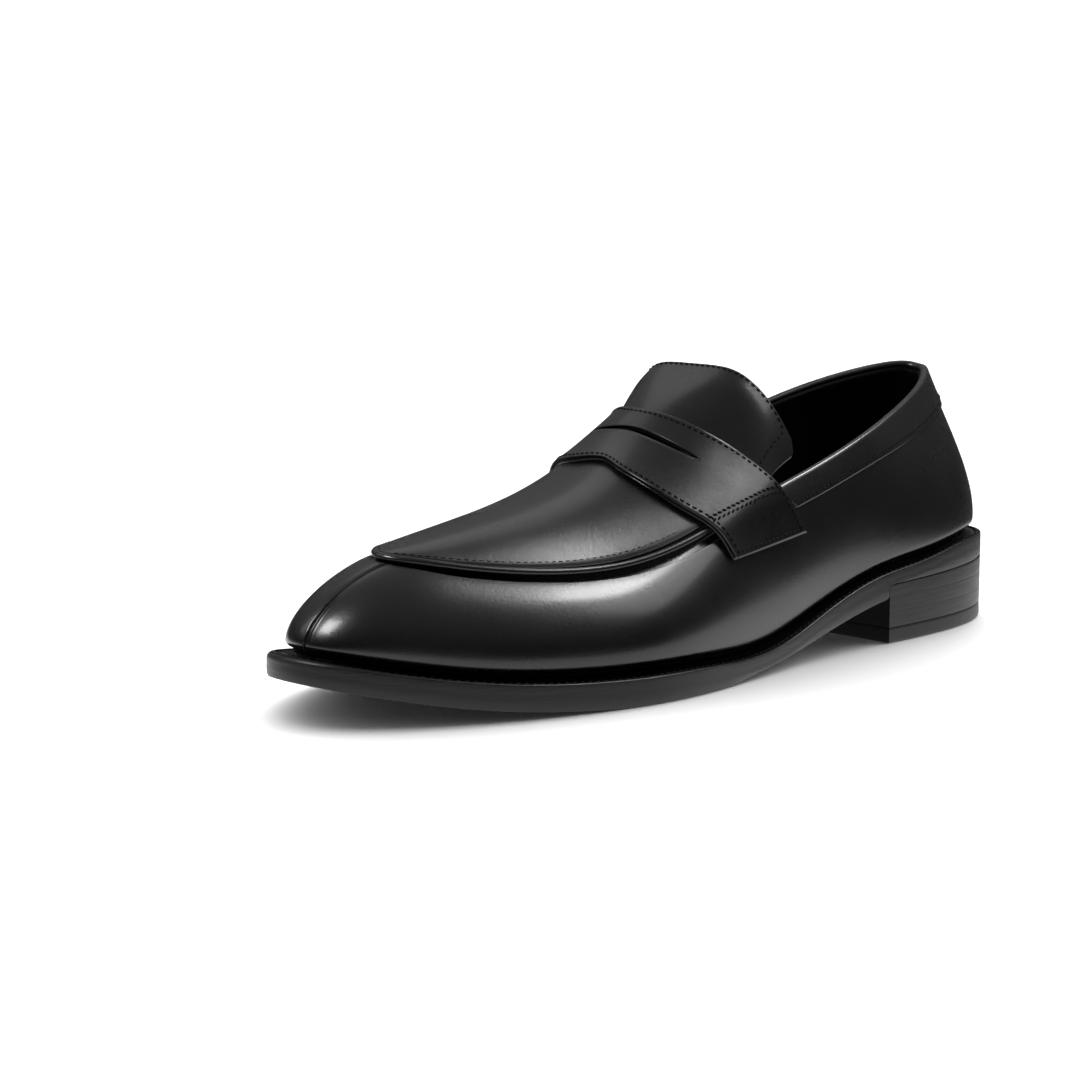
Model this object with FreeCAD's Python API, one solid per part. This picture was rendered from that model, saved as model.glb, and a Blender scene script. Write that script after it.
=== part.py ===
"""Left penny loafer: split-toe apron, saddle strap with a slot, welted sole and stacked heel.

Millimetres. +X points to the toe, +Y to the wearer's left (the outer side), +Z up.
The upper is one smooth form. wall(s, t) goes round it from the heel seam (s = 0) along the
outer side to the toe seam (s = 0.5) and back along the inner side, and t climbs from the
welt (0) to the edge of the apron or the top line (1). top(u, v) covers the instep from the
apron's tip (u = 0) to the tongue's end (u = 8), and v runs from the inner side (-1) to the
outer side (1). Every leather layer is a sheet that follows one of these surfaces.
"""
import math
import os

from FreeCAD import Vector
import Part

# ---------------------------------------------------------------- driving dimensions
MIDDLE_X = 3.25             # middle of the sole's plan, which becomes the part's origin
MIDDLE_Y = -1.45
LEATHER = 1.3               # upper leather
STIFFENER = 0.8             # toe puff and heel counter
LINING = 0.8
GAP = 0.15                  # between one layer and the next
WELT = 3.0                  # thickness of the welt, whose top is the ledge
INSOLE = 2.5
SOCK = 1.0
TOP_LIFT = 5.2
BREAST_X = -66.0            # front face of the heel
SEAT_FRONT_Z = 19.3         # where the heel meets the sole: at the breast and at the back
SEAT_BACK_Z = 22.0
THREAD = 0.35               # radius of the sewing thread
COLLAR_WIDTH = 0.205        # of the wall's height, from the top line down
NAIL = 1.0                  # radius of a heel nail

# Ribs round the upper, evenly spaced in s. Each row holds the foot of the rib on the ledge
# (x, y), its top (x, y, z), how far its lower end leans (out, up) and its upper end (out, down).
RIBS = [
    (-143.0, 1.6, -129.8, -2.3, 87.0, 3.8, 16, 8.0, 20),
    (-136.2, 16.6, -124.9, 4.4, 86.4, 3.8, 16, 8.0, 20),
    (-118.8, 28.4, -110.5, 13.6, 82.6, 2.9, 15, 8.5, 19),
    (-93.0, 34.0, -88.0, 21.8, 76.4, 2.5, 14, 8.3, 18),
    (-62.0, 34.6, -60.0, 28.6, 69.0, 3.0, 13, 6.0, 15),
    (-30.0, 36.0, -31.0, 31.5, 61.2, 4.0, 13, 5.5, 13),
    (0.0, 39.5, -3.0, 33.3, 54.0, 4.5, 12, 6.0, 10),
    (28.0, 43.0, 27.0, 33.6, 44.2, 5.0, 11, 8.0, 6),
    (55.0, 43.5, 54.0, 29.6, 38.4, 4.8, 10, 10.0, 4.5),
    (84.0, 37.5, 80.0, 22.2, 38.4, 4.5, 10, 11.0, 4),
    (113.0, 26.0, 101.0, 13.0, 41.0, 4.0, 10, 12.0, 4),
    (138.0, 8.5, 113.5, 5.0, 43.4, 3.5, 10, 13.0, 4),
    (146.7, -7.0, 119.0, -4.0, 44.5, 3.0, 10, 13.5, 4),
    (140.5, -23.0, 113.5, -13.0, 44.6, 3.5, 10, 13.0, 4),
    (119.0, -37.0, 101.0, -21.5, 43.5, 4.0, 10, 12.0, 4),
    (90.0, -44.5, 80.0, -30.5, 42.2, 4.5, 10, 11.0, 4),
    (62.0, -47.0, 54.0, -37.0, 43.5, 5.0, 10, 10.0, 4.5),
    (33.0, -42.5, 27.0, -40.5, 48.5, 5.0, 11, 8.0, 6),
    (0.0, -32.5, -3.0, -38.5, 56.5, 7.0, 13, 4.0, 10),
    (-30.0, -27.0, -31.0, -36.0, 62.5, 6.5, 15, 3.0, 13),
    (-62.0, -27.0, -60.0, -33.0, 70.0, 4.5, 15, 3.0, 15),
    (-93.0, -29.0, -88.0, -27.0, 78.6, 3.0, 14, 6.0, 18),
    (-119.0, -24.5, -111.5, -18.5, 84.8, 2.5, 15, 7.5, 19),
    (-137.0, -13.5, -127.0, -9.5, 87.6, 3.0, 16, 7.5, 20),
]
# How far the ledge stands out from each rib's foot.
LEDGE_WIDTH = [2.9, 3.5, 3.1, 2.5, 2.8, 3.5, 4.5, 5.2, 5.5, 5.6, 5.7, 5.8,
               5.8, 5.8, 5.7, 5.5, 5.2, 4.5, 3.8, 3.0, 2.6, 2.5, 2.5, 2.5]
# Height of the ledge along the shoe, and of the whole sole edge under it.
LEDGE_X = [-150, -132, -115, -103, -92, -80, -65, -50, -30, -10, 10, 35, 60, 90, 120, 140, 155]
LEDGE_Z = [28.6, 29.5, 29.6, 28.6, 26.9, 25.3, 23.6, 20.6, 14.8, 9.3, 7.1, 7.9, 8.4, 9.6, 13.0, 16.8, 20.2]
SOLE_X = [-66, -50, -30, -10, 10, 30, 60, 90, 120, 155]
SOLE_DEPTH = [8.9, 8.5, 6.9, 5.1, 5.3, 8.0, 8.7, 8.3, 8.0, 7.6]
# Crest of the instep: x, y and z at u = 0, 1, ... 8, from the apron's tip to the tongue's end.
CREST = [(119.0, -4.0, 44.6), (113.5, -4.0, 45.9), (101.0, -4.0, 47.8), (80.0, -3.8, 50.8),
         (54.0, -3.4, 55.5), (27.0, -3.0, 64.5), (7.0, -3.0, 78.5), (-6.0, -3.0, 87.8),
         (-14.0, -3.5, 93.5)]
CROWN = 2.2                 # 2 is a parabola across the instep; more is flatter with rounder sides

WALL_TOP = 0.955            # the walls stop just short of the form's top edge
WALL_ROWS = [-0.045, -0.02, 0.0, 0.12, 0.28, 0.45, 0.62, 0.78, 0.9, WALL_TOP]
LINING_ROWS = [0.0, 0.12, 0.28, 0.45, 0.62, 0.78, 0.9, 0.94]
SEAM_GAP = 0.0006           # in s, between the walls at the heel and toe seams
APRON_EDGE = 0.935          # in v
APRON_LIFT = 0.3            # of the apron's inner face over the instep
APRON_ROW = 0.89            # v of the sewing round the apron
# Section of the rolled edge round the apron: outwards from the top of the wall, and up.
BEAD_SECTION = [(0.9, 0.15), (1.4, 0.2), (1.7, 0.9), (1.4, 1.6), (0.9, 1.8), (0.55, 1.4), (0.5, 0.8), (0.6, 0.4)]

# Front and rear edge of the strap: u at each v, then where the corners of its tab lie, as
# rib number and t, and how far the tab's inner face stands off the wall on its way up.
STRAP_V = [-1, -0.72, -0.5, -0.25, 0, 0.25, 0.5, 0.72, 1]
STRAP_FRONT = [5.45, 5.22, 5.03, 4.94, 4.95, 4.85, 4.86, 4.96, 5.23]
STRAP_REAR = [6.60, 6.42, 6.24, 6.03, 5.95, 5.95, 6.02, 6.19, 6.59]
STRAP_LIFT = 2.1            # of the strap's inner face over the instep
STRAP_LINES = 7
TAB_FRONT = (6.60, 0.68)
TAB_REAR = (5.35, 0.625)
TAB_LIFTS = [(0, 0.7), (0.45, 0.95), (0.85, 1.8)]
SLOT_B = (-0.365, 0.41)     # ends of the slot, across the strap
SLOT_REAR = (0.51, 0.60)    # its rear lip at those ends, as shares of the strap's width
SLOT_BOW = 0.09             # how far the rear lip bows back between them
SLOT_OPEN = (0.02, 0.09)    # opening at the ends and at the middle

TONGUE_SPLIT = 6.35         # u at which the tongue leaves the strap and can flex
TONGUE_WIDTH = 0.86         # in v
TONGUE_CROWN = 4.0          # the free end is fuller than the instep
TONGUE_LOW = -0.4           # inner face of the tongue, from the instep's surface

COLLAR_END = (5.42, 5.64)   # rib at which the band ends: its lower edge, its top
COLLAR_FACE = 1.1           # how far the band's face stands off the wall
COLLAR_FOLD = 1.65          # centre of the fold over the top line, inside the wall's face
COLLAR_DROP = 2.5           # and below the form's top edge
COLLAR_ROLL = 2.85          # outer radius of the fold
COLLAR_GAP = 0.25
STRIP_THICK = 1.1
SEWING_LIFT = 0.12          # between the leather and the thread that lies on it
WELT_SEWING_LIFT = 0.32
TONGUE_SEWING_LIFT = 0.55


def spline(xs, ys):
    """Natural cubic through the points, held level beyond them."""
    n = len(xs)
    step = [xs[i + 1] - xs[i] for i in range(n - 1)]
    low = [0.0] * n
    mid = [1.0] * n
    high = [0.0] * n
    right = [0.0] * n
    for i in range(1, n - 1):
        low[i] = step[i - 1]
        mid[i] = 2 * (step[i - 1] + step[i])
        high[i] = step[i]
        right[i] = 6 * ((ys[i + 1] - ys[i]) / step[i] - (ys[i] - ys[i - 1]) / step[i - 1])
    for i in range(1, n):
        ratio = low[i] / mid[i - 1]
        mid[i] -= ratio * high[i - 1]
        right[i] -= ratio * right[i - 1]
    bend = [0.0] * n
    for i in range(n - 2, -1, -1):
        bend[i] = (right[i] - high[i] * bend[i + 1]) / mid[i]

    def value(x):
        x = min(max(x, xs[0]), xs[-1])
        k = 0
        while k < n - 2 and x > xs[k + 1]:
            k += 1
        h = step[k]
        a = xs[k + 1] - x
        b = x - xs[k]
        curve = (bend[k] * a ** 3 + bend[k + 1] * b ** 3) / (6 * h)
        return curve + (ys[k] / h - bend[k] * h / 6) * a + (ys[k + 1] / h - bend[k + 1] * h / 6) * b
    return value


def path(rows, at=None):
    """Smooth open curve through the rows, as a function of the row number (or of at)."""
    xs = at or list(range(len(rows)))
    parts = [spline(xs, [row[k] for row in rows]) for k in range(len(rows[0]))]
    return lambda x: tuple(part(x) for part in parts)


def loop(rows):
    """Smooth closed curve through the rows, with one turn for s from 0 to 1."""
    n = len(rows)
    lap = 4
    numbers = list(range(-lap, n + lap + 1))
    curve = path([rows[i % n] for i in numbers], numbers)
    return lambda s: curve((s % 1.0) * n)


# ---------------------------------------------------------------- the form of the upper
ledge_z = spline(LEDGE_X, LEDGE_Z)
sole_depth = spline(SOLE_X, SOLE_DEPTH)
foot = loop([rib[:2] for rib in RIBS])
ledge_width = loop([(width,) for width in LEDGE_WIDTH])
crest = path(CREST)


def foot_normal(s):
    back = foot(s - 0.002)
    ahead = foot(s + 0.002)
    dx = ahead[0] - back[0]
    dy = ahead[1] - back[1]
    size = math.hypot(dx, dy)
    return -dy / size, dx / size


def rib_handles():
    rows = []
    for i, (fx, fy, tx, ty, tz, low_out, low_up, high_out, high_down) in enumerate(RIBS):
        nx, ny = foot_normal(i / len(RIBS))
        z = ledge_z(fx)
        rows.append((fx, fy, z,
                     fx + nx * low_out, fy + ny * low_out, z + low_up,
                     tx + nx * high_out, ty + ny * high_out, tz - high_down,
                     tx, ty, tz))
    return rows


handles = loop(rib_handles())


def wall(s, t):
    """Outer face of the side wall. Below t = 0 it goes straight down beside the welt."""
    h = handles(s)
    if t < 0:
        return Vector(h[0], h[1], h[2] + 60 * t)
    m = 1 - t
    weight = (m ** 3, 3 * m * m * t, 3 * m * t * t, t ** 3)
    return Vector(*[sum(weight[k] * h[3 * k + i] for k in range(4)) for i in range(3)])


def side_s(u, side):
    """The s of the wall's rib that meets the instep at u, on the outer (1) or inner (-1) side."""
    rib = u if u < 6 else 6 + (u - 6) / 2
    return (12 - side * rib) / 24


def top(u, v, crown=CROWN):
    """Outer face of the instep, which meets the wall's top at v = -1 and v = 1."""
    c = Vector(*crest(u))
    edge = wall(side_s(u, 1 if v >= 0 else -1), 1.0) - c
    bow = abs(v) ** crown
    return c + Vector(edge.x * bow, edge.y * abs(v), edge.z * bow)


def offset(surface, u, v, distance):
    """The point that stands off the surface by the distance, outwards."""
    e = 0.002
    du = surface(u + e, v) - surface(u - e, v)
    dv = surface(u, v + e) - surface(u, v - e)
    return surface(u, v) - du.cross(dv).normalize() * distance


front_u = spline(STRAP_V, STRAP_FRONT)
rear_u = spline(STRAP_V, STRAP_REAR)


def strap_u(a, v):
    """The u of the strap from its front edge (a = 0) to its rear edge (1), across the instep."""
    return front_u(v) + (rear_u(v) - front_u(v)) * a


def strap_curve(a):
    """One line of the strap's inner face, from the inner tab's end (-1) to the outer tab's end (1)."""
    rows = []
    for side in (-1, 1):
        rib = TAB_FRONT[0] + (TAB_REAR[0] - TAB_FRONT[0]) * a
        t_low = TAB_FRONT[1] + (TAB_REAR[1] - TAB_FRONT[1]) * a
        s_low = 0.5 - side * (0.5 - rib / 24)
        s_top = side_s(strap_u(a, side), side)
        tab = []
        for share, lift in TAB_LIFTS:
            tab.append(offset(wall, s_low + (s_top - s_low) * share, t_low + (1 - t_low) * share, lift))
        arch = [offset(top, strap_u(a, side * v), side * v, STRAP_LIFT) for v in (0.86, 0.66, 0.44, 0.22)]
        rows.append(tab + arch)
    line = rows[0] + [offset(top, strap_u(a, 0.001), 0.001, STRAP_LIFT)] + rows[1][::-1]
    lengths = [0.0]
    for one, other in zip(line, line[1:]):
        lengths.append(lengths[-1] + (other - one).Length)
    return path([tuple(p) for p in line], [2 * length / lengths[-1] - 1 for length in lengths])


strap_lines = [strap_curve(k / (STRAP_LINES - 1)) for k in range(STRAP_LINES)]


def strap(a, b):
    """Inner face of the saddle strap: a from front to rear, b from the inner (-1) to the outer side."""
    rows = [line(b) for line in strap_lines]
    return Vector(*path(rows)(a * (STRAP_LINES - 1)))


# ---------------------------------------------------------------- building blocks
def steps(start, end, count):
    return [start + (end - start) * k / (count - 1) for k in range(count)]


def between(outer, inner):
    """Solid between two grids of points."""
    faces = []
    sheets = []
    for grid in (outer, inner):
        surface = Part.BSplineSurface()
        surface.interpolate(grid)
        sheets.append(surface)
        faces.append(surface.toShape())
    a, b = sheets
    u0, u1, v0, v1 = a.bounds()
    c0, c1, d0, d1 = b.bounds()
    rims = [(a.uIso(u0), b.uIso(c0)), (a.uIso(u1), b.uIso(c1)),
            (a.vIso(v0), b.vIso(d0)), (a.vIso(v1), b.vIso(d1))]
    for one, other in rims:
        faces.append(Part.makeRuledSurface(one.toShape(), other.toShape()))
    shell = Part.makeShell(faces)
    shell.sewShape()
    solid = Part.makeSolid(shell)
    if solid.Volume < 0:
        solid.reverse()
    return solid


def triangle(a, b, c):
    return Part.Face(Part.makePolygon([a, b, c, a]))


def rod(sections):
    """Solid through many-sided sections, whose points go up one face and back down the other."""
    rings = [Part.makePolygon(points + points[:1]) for points in sections]
    faces = Part.makeLoft(rings, False, False).Faces
    for points in (sections[0], sections[-1]):
        half = len(points) // 2
        up = points[:half]
        down = points[half:][::-1]
        for k in range(half - 1):
            faces.append(triangle(up[k], up[k + 1], down[k]))
            faces.append(triangle(up[k + 1], down[k + 1], down[k]))
    shell = Part.makeShell(faces)
    shell.sewShape()
    solid = Part.makeSolid(shell)
    if solid.Volume < 0:
        solid.reverse()
    return solid


def layer(surface, us, vs, low, high):
    """Sheet that follows a surface, from low to high above it."""
    grids = [[[offset(surface, u, v, d) for v in vs] for u in us] for d in (high, low)]
    return between(*grids)


def outline(stand_off, extra=None, count=72):
    """Plan of the upper's foot, grown by stand_off or by what extra(s) gives."""
    points = []
    for k in range(count):
        s = k / count
        x, y = foot(s)
        nx, ny = foot_normal(s)
        grow = extra(s) if extra else stand_off
        points.append(Vector(x + nx * grow, y + ny * grow, 0))
    curve = Part.BSplineCurve()
    curve.interpolate(points, PeriodicFlag=True)
    return Part.Face(Part.Wire([curve.toShape()]))


def side_band(low, high, x0=-156.0, x1=162.0, count=40):
    """Block as wide as the shoe between two heights that change along it."""
    xs = steps(x0, x1, count)
    edges = []
    for height in (low, high):
        curve = Part.BSplineCurve()
        curve.interpolate([Vector(x, -70, height(x)) for x in xs])
        edges.append(curve.toShape())
    edges.append(Part.makeLine(Vector(x0, -70, low(x0)), Vector(x0, -70, high(x0))))
    edges.append(Part.makeLine(Vector(x1, -70, low(x1)), Vector(x1, -70, high(x1))))
    face = Part.Face(Part.Wire(Part.__sortEdges__(edges)))
    return face.extrude(Vector(0, 140, 0))


def plate(plan, low, high, x0=-156.0, x1=162.0):
    """Level plan, cut to lie between two heights."""
    column = plan.extrude(Vector(0, 0, 70))
    return column.common(side_band(low, high, x0, x1))


def block(x0, x1, z0, z1):
    return Part.makeBox(x1 - x0, 140, z1 - z0, Vector(x0, -70, z0))


def stitches(points, pitch, radius=THREAD, share=0.66):
    """Row of short threads along a list of points."""
    lengths = [0.0]
    for one, other in zip(points, points[1:]):
        lengths.append(lengths[-1] + (other - one).Length)
    place = path([tuple(p) for p in points], lengths)
    count = max(1, int(lengths[-1] / pitch))
    threads = []
    for k in range(count):
        start = Vector(*place((k + (1 - share) / 2) * lengths[-1] / count))
        end = Vector(*place((k + (1 + share) / 2) * lengths[-1] / count))
        along = end - start
        threads.append(Part.makeCylinder(radius, along.Length, start, along))
    return threads


# ---------------------------------------------------------------- sole and heel
def whole_plan():
    return outline(0, lambda s: ledge_width(s)[0])


def seat_z(x):
    """Underside of the sole over the heel, a sloping plane."""
    back = LEDGE_X[0]
    return SEAT_FRONT_Z + (SEAT_BACK_Z - SEAT_FRONT_Z) * (BREAST_X - x) / (BREAST_X - back)


def nail_places():
    return [(x, y) for x in (-128, -104, -82) for y in (-14, 14)]


def nails():
    pieces = []
    for x, y in nail_places():
        top_z = ledge_z(x) - WELT - 1.0
        pieces.append(Part.makeCylinder(NAIL, top_z - TOP_LIFT - 0.2, Vector(x, y, TOP_LIFT + 0.2)))
    return pieces


def nail_holes():
    return Part.makeCompound([Part.makeCylinder(NAIL + 0.05, 60, Vector(x, y, TOP_LIFT + 0.1))
                              for x, y in nail_places()])


def make_outsole():
    plan = whole_plan()
    forepart = plate(plan, lambda x: ledge_z(x) - sole_depth(x), lambda x: ledge_z(x) - WELT - 0.05,
                     BREAST_X + 0.05)
    seat = plate(plan, seat_z, lambda x: ledge_z(x) - WELT - 0.05, -156.0, BREAST_X + 0.05)
    sole = forepart.fuse(seat).common(block(-170, 170, 0, 70))
    return sole.cut(nail_holes()).removeSplitter()


def make_heel_lifts():
    plan = whole_plan()
    heel = block(-170, BREAST_X, 0, 70)
    column = plan.extrude(Vector(0, 0, 40)).common(heel)
    levels = [TOP_LIFT + 0.05, 10.6, 15.9]
    lifts = [column.common(block(-170, 0, 0, TOP_LIFT))]
    for bottom, ceiling in zip(levels, levels[1:]):
        lifts.append(column.common(block(-170, 0, bottom, ceiling - 0.05)).cut(nail_holes()))
    wedge = column.common(side_band(lambda x: levels[-1], lambda x: seat_z(x) - 0.05, -160, 0, 4))
    lifts.append(wedge.cut(nail_holes()))
    return lifts


def make_welt():
    ring = whole_plan().cut(outline(GAP))
    return plate(ring, lambda x: ledge_z(x) - WELT, ledge_z)


def make_bed():
    """Shank, cork filler, insole board and sock, from the outsole up to the foot."""
    shank_box = Part.makeBox(104, 13, 60, Vector(-92, -5, 0))
    slot_box = Part.makeBox(104.6, 13.6, 60, Vector(-92.3, -5.3, 0))
    inner = LEATHER + STIFFENER + LINING + 3 * GAP + 0.3
    shank = side_band(lambda x: ledge_z(x) - 2.6, lambda x: ledge_z(x) - 1.4).common(shank_box)
    cork = plate(outline(-LEATHER - 0.4), lambda x: ledge_z(x) - WELT, lambda x: ledge_z(x) - 0.3)
    cork = cork.cut(side_band(lambda x: ledge_z(x) - 2.7, lambda x: ledge_z(x) - 1.3).common(slot_box))
    board = plate(outline(-inner), lambda x: ledge_z(x) - 0.2, lambda x: ledge_z(x) - 0.2 + INSOLE)
    sock_low = INSOLE - 0.1
    sock = plate(outline(-inner - 0.6), lambda x: ledge_z(x) + sock_low,
                 lambda x: ledge_z(x) + sock_low + SOCK)
    return {"shank": shank, "cork_filler": cork, "insole_board": board, "sock_liner": sock}


# ---------------------------------------------------------------- upper
def make_walls():
    walls = {}
    halves = (("outer_wall", SEAM_GAP, 0.5 - SEAM_GAP), ("inner_wall", 0.5 + SEAM_GAP, 1 - SEAM_GAP))
    for name, start, end in halves:
        walls[name] = layer(wall, steps(start, end, 33), WALL_ROWS, -LEATHER, 0)
    return walls


def make_stiffeners():
    high = -LEATHER - GAP - 0.07
    low = high - STIFFENER + 0.1
    puff = layer(wall, steps(0.445, 0.555, 15), steps(0.06, 0.88, 7), low, high)
    counter = layer(wall, steps(-0.115, 0.115, 19), steps(0.04, 0.62, 6), low, high)
    return {"toe_puff": puff, "heel_counter": counter}


def make_linings():
    high = -LEATHER - STIFFENER - 2 * GAP
    low = high - LINING
    outer = layer(wall, steps(0.001, 0.478, 31), LINING_ROWS, low, high)
    inner = layer(wall, steps(0.522, 0.999, 31), LINING_ROWS, low, high)
    under = layer(top, steps(0.9, 5.8, 19), steps(-0.88, 0.88, 11), -LINING - 0.5, -0.5)
    grip = layer(wall, steps(-0.06, 0.06, 11), steps(0.16, 0.86, 7), low - GAP - LINING, low - GAP)
    return {"outer_lining": outer, "inner_lining": inner, "apron_lining": under, "heel_grip": grip}


def make_apron():
    return layer(top, steps(0.22, 5.4, 27), steps(-APRON_EDGE, APRON_EDGE, 15), APRON_LIFT,
                 APRON_LIFT + LEATHER)


def bead_point(s, along, lift):
    """Point in the section of the rolled edge round the apron, beside the top of the wall."""
    edge = wall(s, 1.0)
    ahead = wall(s + 0.002, 1.0) - wall(s - 0.002, 1.0)
    out = Vector(-ahead.y, ahead.x, 0).normalize()
    return edge + out * along + Vector(0, 0, lift)


def make_bead():
    reach = side_s(4.9, 1)
    return rod([[bead_point(s, along, lift) for along, lift in BEAD_SECTION]
                for s in steps(reach, 1 - reach, 41)])


def tongue_form(u, v):
    """The tongue's surface, from under the strap to its rounded, fuller end."""
    free = min(1.0, max(0.0, (u - TONGUE_SPLIT) / 0.8))
    free = free * free * (3 - 2 * free)
    round_end = 1 - 0.09 * max(0.0, (u - 7.3) / 0.7) ** 2
    place = top(u, v * TONGUE_WIDTH * round_end, CROWN + (TONGUE_CROWN - CROWN) * free)
    return place - Vector(0, 0, 0.9 * abs(v) ** 4 * (1 - free))


def make_tongue():
    """The tongue's fixed part under the strap, its free flap and the flap's lining."""
    high = TONGUE_LOW + LEATHER
    across = steps(-1, 1, 13)
    root = layer(tongue_form, steps(5.85, TONGUE_SPLIT - 0.03, 6), across, TONGUE_LOW, high)
    free = layer(tongue_form, steps(TONGUE_SPLIT + 0.03, 8.0, 13), across, TONGUE_LOW, high)
    backing = layer(tongue_form, steps(TONGUE_SPLIT + 0.05, 7.97, 13), steps(-0.97, 0.97, 13),
                    TONGUE_LOW - 0.95, TONGUE_LOW - 0.15)
    return {"tongue_root": root, "tongue": free, "tongue_lining": backing}


def make_strap():
    body = layer(strap, steps(0, 1, 9), steps(-1, 1, 41), 0, LEATHER)
    lips = []
    for share in steps(0, 1, 13):
        bow = 4 * share * (1 - share)
        rear = SLOT_REAR[0] + (SLOT_REAR[1] - SLOT_REAR[0]) * share + SLOT_BOW * bow
        lips.append((rear, SLOT_OPEN[0] + (SLOT_OPEN[1] - SLOT_OPEN[0]) * bow))
    bs = steps(SLOT_B[0], SLOT_B[1], len(lips))
    grids = []
    for height in (3.0, -1.5):
        rows = []
        for part in steps(1, 0, 4):
            rows.append([offset(strap, rear - opening * part, b, height)
                         for b, (rear, opening) in zip(bs, lips)])
        grids.append(rows)
    return body.cut(between(*grids))


def collar_point(s, a, b):
    """Point near the top line: a outwards from the wall's face, b up past the top line."""
    edge = wall(s, 1.0)
    up = (edge - wall(s, 0.96)).normalize()
    ahead = (wall(s + 0.002, 1.0) - wall(s - 0.002, 1.0)).normalize()
    out = up.cross(ahead).normalize()
    if out.dot(Vector(*foot_normal(s), 0)) < 0:
        out = out * -1
    return edge + out * a + up * b


def make_collar():
    low_end = COLLAR_END[0] / 24
    top_end = COLLAR_END[1] / 24
    sections = []
    for share in steps(-1, 1, 49):
        faces = []
        for face, radius in ((COLLAR_FACE, COLLAR_ROLL),
                             (COLLAR_GAP, COLLAR_ROLL - COLLAR_FACE + COLLAR_GAP)):
            row = []
            for k, t in enumerate(steps(1 - COLLAR_WIDTH, 0.93, 4)):
                row.append(offset(wall, (low_end + (top_end - low_end) * k / 4) * share, t, face))
            for angle in (0, 36, 72, 108, 144, 180):
                turn = math.radians(angle)
                row.append(collar_point(top_end * share, radius * math.cos(turn) - COLLAR_FOLD,
                                        radius * math.sin(turn) - COLLAR_DROP))
            row.append(collar_point(top_end * share, -radius - COLLAR_FOLD, -COLLAR_DROP - 3.0))
            faces.append(row)
        sections.append(faces[0] + faces[1][::-1])
    return rod(sections)


def make_back_strip():
    return layer(wall, steps(-0.012, 0.012, 5), steps(0.10, 0.78, 8), GAP, GAP + STRIP_THICK)


# ---------------------------------------------------------------- sewing
def rows_on(surface, lines, face, pitch, share=0.66):
    """Sewing on a surface: each line is its us, its vs and how many points describe it."""
    threads = []
    for (u0, u1), (v0, v1), count in lines:
        us = steps(u0, u1, count)
        vs = steps(v0, v1, count)
        threads += stitches([offset(surface, u, v, face + THREAD + SEWING_LIFT) for u, v in zip(us, vs)],
                            pitch, share=share)
    return threads


def welt_sewing():
    line = []
    for s in steps(0.0, 1.0, 200):
        x, y = foot(s)
        nx, ny = foot_normal(s)
        out = 0.55 * ledge_width(s)[0]
        height = ledge_z(x + nx * out) + THREAD + WELT_SEWING_LIFT
        line.append(Vector(x + nx * out, y + ny * out, height))
    return stitches(line, 5.2, share=0.45)


def tongue_sewing():
    face = TONGUE_LOW + LEATHER + THREAD + TONGUE_SEWING_LIFT
    places = [(u, 0.93) for u in steps(6.75, 7.75, 12)]
    places += [(7.88, v) for v in steps(0.85, -0.85, 20)]
    places += [(u, -0.93) for u in steps(7.75, 6.75, 12)]
    return stitches([offset(tongue_form, u, v, face) for u, v in places], 3.6)


def make_sewing():
    strap_lines_across = [((0.07, 0.07), (-0.97, 0.97), 60), ((0.93, 0.93), (-0.97, 0.97), 60)]
    tabs = []
    for side in (-1, 1):
        strap_lines_across.append(((0.1, 0.9), (side * 0.975, side * 0.975), 12))
        for b in (0.735, 0.762):
            tabs.append(((0.04, 0.96), (side * b, side * b), 20))
    apron_lines = [((4.6, 0.5), (v, v), 60) for v in (APRON_ROW, -APRON_ROW)]
    collar_reach = COLLAR_END[0] / 24 - 0.003
    collar_t = 1 - COLLAR_WIDTH + 0.03
    collar_line = [((-collar_reach, collar_reach), (collar_t, collar_t), 120)]
    strip_lines = [((s, s), (0.12, 0.76), 12) for s in (-0.009, 0.009)]
    on_strap = rows_on(strap, strap_lines_across, LEATHER, 4.0) + rows_on(strap, tabs, LEATHER, 3.4)
    return {
        "welt_stitching": welt_sewing(),
        "toe_seam_stitching": rows_on(wall, [((0.5, 0.5), (0.5, 0.9), 12)], 0, 3.0, 0.5),
        "apron_stitching": rows_on(top, apron_lines, APRON_LIFT + LEATHER, 3.6),
        "tongue_stitching": tongue_sewing(),
        "strap_stitching": on_strap,
        "collar_stitching": rows_on(wall, collar_line, COLLAR_FACE, 4.0),
        "back_strip_stitching": rows_on(wall, strip_lines, GAP + STRIP_THICK, 4.0),
    }


# ---------------------------------------------------------------- build
def build():
    pieces = {"outsole": make_outsole(), "welt": make_welt(), "heel_nails": Part.makeCompound(nails())}
    names = ("top_lift", "heel_lift_lower", "heel_lift_middle", "heel_lift_upper")
    pieces.update(zip(names, make_heel_lifts()))
    pieces.update(make_bed())
    pieces.update(make_walls())
    pieces.update(make_stiffeners())
    pieces.update(make_linings())
    pieces["apron"] = make_apron()
    pieces["apron_bead"] = make_bead()
    pieces.update(make_tongue())
    pieces["saddle_strap"] = make_strap()
    pieces["collar_band"] = make_collar()
    pieces["back_strip"] = make_back_strip()
    for name, threads in make_sewing().items():
        pieces[name] = Part.makeCompound(threads)
    return pieces


os.makedirs("parts", exist_ok=True)
for name, shape in build().items():
    shape.translate(Vector(-MIDDLE_X, -MIDDLE_Y, 0))
    shape.exportStep("parts/" + name + ".step")
    box = shape.BoundBox
    print(name, len(shape.Solids), shape.isValid(), round(shape.Volume), [round(c, 1) for c in (
        box.XMin, box.XMax, box.YMin, box.YMax, box.ZMin, box.ZMax)])
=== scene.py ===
"""The looks of a left penny loafer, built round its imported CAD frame.

Lengths in the tables are millimetres in the last's own axes: +X to the toe, +Y to the outer side,
+Z up. to_frame() moves them to the frame's origin and turns them into metres.
"""
import math

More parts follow.
